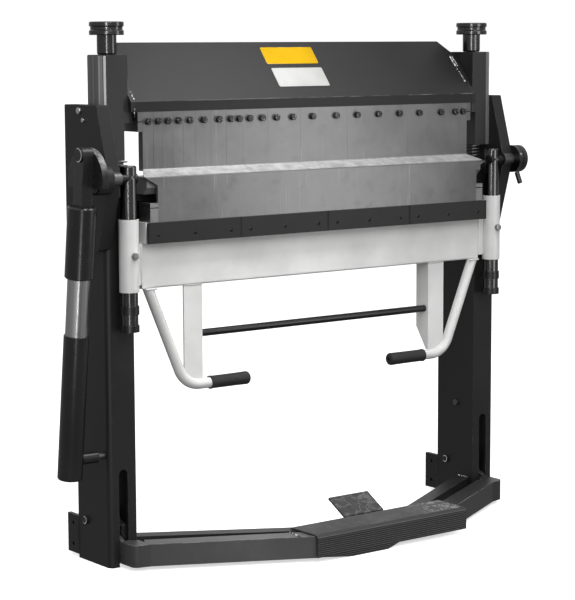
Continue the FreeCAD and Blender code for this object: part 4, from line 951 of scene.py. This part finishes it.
bm = bmesh.new()
weld(bm, on_slope(525.5, 39), on_slope(518.0, 125), 4.0, UNEVEN)
weld(bm, on_slope(529.0, 92), on_slope(524.5, 128), 3.0, UNEVEN)
weld(bm, on_slope(-BEAM_END_X, 6), on_slope(-BEAM_END_X, 30), 4.0, UNEVEN)
lip_x = -BEAM_END_X - 1.0
weld(bm, (lip_x, FOLD_Y + 1.0, 1062), (lip_x, FOLD_Y + 1.0, 1086), 3.0, UNEVEN)
place_piece("beam_end_welds", bm, "clamp_beam", weld_metal)

LUG_FACE_Y = 181.7
CHEEK_FOOT_Z = 880.5
bm = bmesh.new()
for side in (-1, 1):
    for x in (541.5, 614.5):
        weld(bm, (side * x, LUG_FACE_Y, 10), (side * x, LUG_FACE_Y, 101), 5.0)
    for x in (543.0, 613.0):
        weld(bm, (side * x, 60.0, CHEEK_FOOT_Z), (side * x, 172.0, CHEEK_FOOT_Z), 5.0)
place_piece("column_welds", bm, "frame", dark_paint)

APRON_BOTTOM = 663.0
APRON_END_X = 533.0
bm = bmesh.new()
for side in (-1, 1):
    weld(bm, (side * 362.0, 18.5, APRON_BOTTOM), (side * 410.0, 18.5, APRON_BOTTOM), 5.0)
    weld(bm, (side * 496.0, 6.5, APRON_BOTTOM - 1.0), (side * 527.0, 6.5, APRON_BOTTOM - 1.0), 5.5)
    weld(bm, (side * APRON_END_X, 14.5, 676.0), (side * APRON_END_X, 14.5, 768.0), 5.0)
place_piece("apron_welds", bm, "apron", light_paint)

BAR_TOP = 63.2
bm = bmesh.new()
weld(bm, (-219.0, -140.0, BAR_TOP), (-227.0, -190.0, BAR_TOP), 5.0, UNEVEN)
weld(bm, (-537.5, 60.0, BAR_TOP - 1.0), (-537.5, 101.0, BAR_TOP - 1.0), 5.0, UNEVEN)
weld(bm, (537.0, 56.0, BAR_TOP - 1.0), (537.0, 95.0, BAR_TOP - 1.0), 5.0, UNEVEN)
for x in (-23.0, 100.0):
    weld(bm, (x, -108.0, 64.0), (x, -114.0, 62.0), 4.0)
place_piece("pedal_welds", bm, "pedal", weld_metal)

# %% [markdown]
# Two plain plates are bonded to the slanting face: one yellow, one white.
# Each is a thin sheet with rounded corners, set on the slope by one matrix.
# A colour mask on the beam could draw them too, without the fine edge that their thickness gives.

# %% Blank plates
PLATE_THICKNESS = 0.8
PLATE_CORNER = 4.0


def blank_plate(x0, x1, low, high):
    """A thin plate with rounded corners on the slanting face."""
    part = bmesh.new()
    bmesh.ops.create_grid(part, x_segments=1, y_segments=1, size=0.5)
    bmesh.ops.scale(part, verts=part.verts, vec=(x1 - x0, high - low, 1.0))
    bmesh.ops.bevel(part, geom=part.verts[:], offset=PLATE_CORNER, offset_type="OFFSET", affect="VERTICES",
                    segments=5, profile=0.5, material=-1)
    push_out(part, part.faces[:][0], PLATE_THICKNESS)
    bmesh.ops.recalc_face_normals(part, faces=part.faces)
    out = Vector((0, -SLOPE.z, SLOPE.y))
    lean = Matrix((Vector((1, 0, 0)), SLOPE, out)).transposed().to_4x4()
    place = on_slope((x0 + x1) / 2, (low + high) / 2)
    bmesh.ops.transform(part, matrix=Matrix.Translation(place) @ lean, verts=part.verts)
    return part


upper_plate = blank_plate(-96.0, 65.0, 106.0, 158.0)
place_piece("yellow_plate", upper_plate, "clamp_beam", plate_yellow)
lower_plate = blank_plate(-91.0, 67.0, 35.5, 93.0)
place_piece("white_plate", lower_plate, "clamp_beam", plate_white)

# %% [markdown]
# The hand grips are rubber tubes pushed on the handles, thick-walled, with rounded ends
# and a small vent hole at the closed end. A lathe outline gives all of it, turned once for each side.

# %% Hand grips
HANDLE_Y = 18.0
HANDLE_Z = 422.0
GRIP_INNER_X = 225.0
GRIP_LENGTH = 116.0
bm = bmesh.new()
grip_outline = [(0, 6), (4.5, 6), (4.5, 0), (9.5, 0), (13.0, 1.0), (15.4, 3.4), (16.2, 7.0), (16.0, 14.0)]
grip_outline += [(15.6, 40.0), (15.5, GRIP_LENGTH - 12), (15.8, GRIP_LENGTH - 6), (16.5, GRIP_LENGTH - 3)]
grip_outline += [(16.4, GRIP_LENGTH - 0.8), (15.6, GRIP_LENGTH), (13.4, GRIP_LENGTH)]
grip_outline += [(13.4, GRIP_LENGTH - 2), (0, GRIP_LENGTH - 2)]
for side in (-1, 1):
    join(bm, turned(grip_outline, 28), (side * GRIP_INNER_X, HANDLE_Y, HANDLE_Z), (side, 0, 0))
grips = place_piece("rubber_grips", bm, "apron", rubber)
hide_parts("handle_grips")

# %% [markdown]
# The tread is covered with a ribbed rubber mat: fine ribs run from front to back on top.
# Each rib is one long, slightly chamfered bar, repeated at an even pitch, since bump alone has no outline.

# %% Tread mat
MAT_THICKNESS = 0.5
SUNK = 0.1
MAT_LENGTH = TREAD_RIGHT - TREAD_LEFT - 1.0
MAT_DEPTH = TREAD_BACK - TREAD_FRONT - 12.0
MAT_MIDDLE_Y = (TREAD_FRONT + TREAD_BACK) / 2 + 5.0
RIB_WIDTH = 3.2
RIB_DEPTH = MAT_DEPTH - 2.0
RIB_HEIGHT = 0.9


def mat_rib():
    """One bar of the mat, with its two long top edges chamfered."""
    rib = bmesh.new()
    bmesh.ops.create_cube(rib, size=1.0)
    bmesh.ops.scale(rib, verts=rib.verts, vec=(RIB_WIDTH, RIB_DEPTH, RIB_HEIGHT))
    top = [e for e in rib.edges if all(v.co.z > 0 for v in e.verts)]
    long_edges = [e for e in top if abs(e.verts[0].co.x - e.verts[1].co.x) < 0.01]
    bmesh.ops.bevel(rib, geom=long_edges, offset=0.5, offset_type="OFFSET", affect="EDGES",
                    segments=1, profile=0.5, material=-1)
    return rib


bm = bmesh.new()
bmesh.ops.create_grid(bm, x_segments=1, y_segments=1, size=0.5)
bmesh.ops.scale(bm, verts=bm.verts, vec=(MAT_LENGTH, MAT_DEPTH, 1.0))
push_out(bm, bm.faces[:][0], MAT_THICKNESS)
mat_place = ((TREAD_LEFT + TREAD_RIGHT) / 2, MAT_MIDDLE_Y, TREAD_TOP - SUNK)
bmesh.ops.translate(bm, verts=bm.verts, vec=mat_place)
rib_z = TREAD_TOP - SUNK + MAT_THICKNESS + RIB_HEIGHT / 2 - SUNK
x = FIRST_RIB
while x < TREAD_RIGHT - 3.0:
    join(bm, mat_rib(), (x, MAT_MIDDLE_Y, rib_z))
    x += RIB_PITCH
bmesh.ops.recalc_face_normals(bm, faces=bm.faces)
place_piece("tread_mat", bm, "pedal", mat_rubber)

# %% [markdown]
# A dark sheet in the tread's rubber stands under its front edge for part of its length, down to the floor:
# a painted shadow under the tread.
# A flat grid has its two lower corners drawn in, is pushed out to its thickness and is then stood up.

# %% Painted shadow under the tread
SHADOW_SHEET_LEFT = -190.0
SHADOW_SHEET_RIGHT = 62.0
SHADOW_SHEET_TOP = 13.3
SHADOW_SHEET_LOW = 0.4
SHADOW_SHEET_THICKNESS = 2.5
LEFT_SLANT = 138.0
RIGHT_SLANT = 40.0
bm = bmesh.new()
bmesh.ops.create_grid(bm, x_segments=1, y_segments=1, size=0.5)
bmesh.ops.scale(bm, verts=bm.verts, vec=(SHADOW_SHEET_RIGHT - SHADOW_SHEET_LEFT, SHADOW_SHEET_TOP - SHADOW_SHEET_LOW, 1.0))
for side, inset in ((-1, LEFT_SLANT), (1, RIGHT_SLANT)):
    corner = [v for v in bm.verts if v.co.y < 0 and v.co.x * side > 0]
    bmesh.ops.translate(bm, verts=corner, vec=(-side * inset, 0, 0))
push_out(bm, bm.faces[:][0], SHADOW_SHEET_THICKNESS)
bmesh.ops.recalc_face_normals(bm, faces=bm.faces)
bmesh.ops.rotate(bm, verts=bm.verts, matrix=Matrix.Rotation(math.radians(90.0), 3, "X"))
shadow_sheet_y = TREAD_FRONT + SHADOW_SHEET_THICKNESS + 0.2
shadow_sheet_place = ((SHADOW_SHEET_LEFT + SHADOW_SHEET_RIGHT) / 2, shadow_sheet_y, (SHADOW_SHEET_TOP + SHADOW_SHEET_LOW) / 2)
bmesh.ops.translate(bm, verts=bm.verts, vec=shadow_sheet_place)
# A dark sheet that stands for the shadow under the tread.
place_piece("tread_shadow_sheet", bm, "pedal", tread_rubber)

# %% [markdown]
# The cross rod ends in a collar at each upright, turned with a small chamfer on both rims.

# %% Rod collars
ROD_Y = 34.0
ROD_Z = 542.0
COLLAR_X = 364.8
collar = [(0, 0), (10.6, 0), (11.2, 0.6), (11.2, 9.4), (10.6, 10), (0, 10)]
bm = bmesh.new()
for side in (1, -1):
    join(bm, turned(collar), (side * COLLAR_X, ROD_Y, ROD_Z), (side, 0, 0))
place_piece("rod_collars", bm, "apron", black_steel)

# %% [markdown]
# The camera stands where the photographer stood, to the left of the machine and a little above its fingers.
# A long lens far away keeps the near column only a little larger than the far one.

# %% Camera
FRAME_HEIGHT = 600.0
FOCAL_PIXELS = 2006.591
SENSOR = 36.0
CAMERA_PLACE = at(-3087.47, -3895.68, 1233.73)
yaw = math.radians(37.3325)
pitch = math.radians(7.30465)
roll = math.radians(-0.23575)

forward = Vector((math.sin(yaw) * math.cos(pitch), math.cos(yaw) * math.cos(pitch), -math.sin(pitch)))
right = Vector((math.cos(yaw), -math.sin(yaw), 0.0))
up = right.cross(forward)
right_rolled = right * math.cos(roll) + up * math.sin(roll)
up_rolled = up * math.cos(roll) - right * math.sin(roll)
turn = Matrix((right_rolled, up_rolled, -forward)).transposed()

camera_data = bpy.data.cameras.new("camera")
camera_data.sensor_fit = "AUTO"
camera_data.sensor_width = SENSOR
camera_data.lens = FOCAL_PIXELS / FRAME_HEIGHT * SENSOR
camera_data.clip_end = 100.0
camera = bpy.data.objects.new("camera", camera_data)
camera.matrix_world = Matrix.Translation(CAMERA_PLACE) @ turn.to_4x4()
bpy.context.scene.collection.objects.link(camera)
bpy.context.scene.camera = camera
print("lens", round(camera_data.lens, 1))

# %% [markdown]
# The floor is a big pale sheet that glows a little, so that it runs into the background.
# Black steel would show it as a haze, so it stays out of mirror images and of bounced light.

# %% Floor
FLOOR_SIZE = 120.0
FLOOR_GLOW = 0.62
floor_mesh = bpy.data.meshes.new("floor")
bm = bmesh.new()
bmesh.ops.create_grid(bm, x_segments=1, y_segments=1, size=FLOOR_SIZE)
bm.to_mesh(floor_mesh)
bm.free()
floor = bpy.data.objects.new("floor", floor_mesh)
bpy.context.scene.collection.objects.link(floor)
floor_paint = Paint("pale_floor")
floor_finish = floor_paint.finish(Base_Color=rgb(0.9), Roughness=0.9, Emission_Color=rgb(1.0),
                                  Emission_Strength=FLOOR_GLOW)
floor_mesh.materials.append(floor_finish)
floor.visible_diffuse = False
floor.visible_glossy = False
print("floor", FLOOR_SIZE)

# %% [markdown]
# The studio's walls are darker near the floor and lighter overhead, which gives the paint its slow shading.
# A ramp over the ray's height is enough for that. A camera ray sees one even near-white instead.

# %% Studio walls
LOWEST_LIGHT = 0.24
TOP_LIGHT = 0.75
SEEN_LIGHT = 1.02
LOWEST_RAY = -0.35
TOP_RAY = 0.8
bpy.context.scene.view_settings.view_transform = "Standard"
world = bpy.data.worlds.new("studio")
world.use_nodes = True
bpy.context.scene.world = world
tree = world.node_tree
background = tree.nodes["Background"]
background.inputs["Color"].default_value = (1.0, 1.0, 1.0, 1.0)
direction = tree.nodes.new("ShaderNodeTexCoord")
parts = tree.nodes.new("ShaderNodeSeparateXYZ")
tree.links.new(direction.outputs["Generated"], parts.inputs[0])
sky = tree.nodes.new("ShaderNodeMapRange")
sky.inputs["From Min"].default_value = LOWEST_RAY
sky.inputs["From Max"].default_value = TOP_RAY
sky.inputs["To Min"].default_value = LOWEST_LIGHT
sky.inputs["To Max"].default_value = TOP_LIGHT
tree.links.new(parts.outputs["Z"], sky.inputs["Value"])
seen = tree.nodes.new("ShaderNodeLightPath")
blend = tree.nodes.new("ShaderNodeMix")
blend.inputs[3].default_value = SEEN_LIGHT
tree.links.new(seen.outputs["Is Camera Ray"], blend.inputs["Factor"])
tree.links.new(sky.outputs["Result"], blend.inputs[2])
tree.links.new(blend.outputs[0], background.inputs["Strength"])
print("studio", LOWEST_LIGHT, TOP_LIGHT)

# %% [markdown]
# A big softbox stands at the front left. Small ones fill the slope, the fingers' foot and the back.
# Three more add only gloss: one in the flat steel, one along the strut and one in the shafts.

# %% Softboxes


def softbox(name, place, aim, width, power, height=None, gloss_only=False, spread=180.0):
    """A rectangular lamp. One that is only for gloss shows in metal and varnish alone."""
    data = bpy.data.lights.new(name, "AREA")
    data.shape = "RECTANGLE"
    data.size = width
    data.size_y = height or width
    data.energy = power
    data.spread = math.radians(spread)
    lamp = bpy.data.objects.new(name, data)
    lamp.location = place
    lamp.rotation_mode = "QUATERNION"
    lamp.rotation_quaternion = (aim - place).to_track_quat("-Z", "Y")
    lamp.visible_camera = False
    lamp.visible_diffuse = not gloss_only
    bpy.context.scene.collection.objects.link(lamp)
    print(name, power)


middle = at(0, 0, 700)
softbox("key", at(-1500, -3600, 3200), middle, width=2.5, power=92.0)
softbox("overhead", at(650, -650, 2500), at(350, 0, 600), width=0.9, power=12.5)
softbox("finger_glow", at(890, -1211, 880), at(-80, 38, 940), width=0.5, power=5.2, height=0.95,
        gloss_only=True)
softbox("foot_glow", at(-300, -560, 2200), at(-220, 19, 930), width=0.5, power=1.8, spread=50.0)
softbox("tube_gleam", at(-1434, -1176, 280), at(-706, 20, 620), width=0.12, power=1.6, height=0.42,
        gloss_only=True)
softbox("shaft_gleam", at(-3300, -4200, 1500), middle, width=0.4, power=50.0, height=2.5, gloss_only=True)
softbox("rear_glow", at(2424, 3180, 1200), middle, width=3.0, power=8.0, height=1.6)
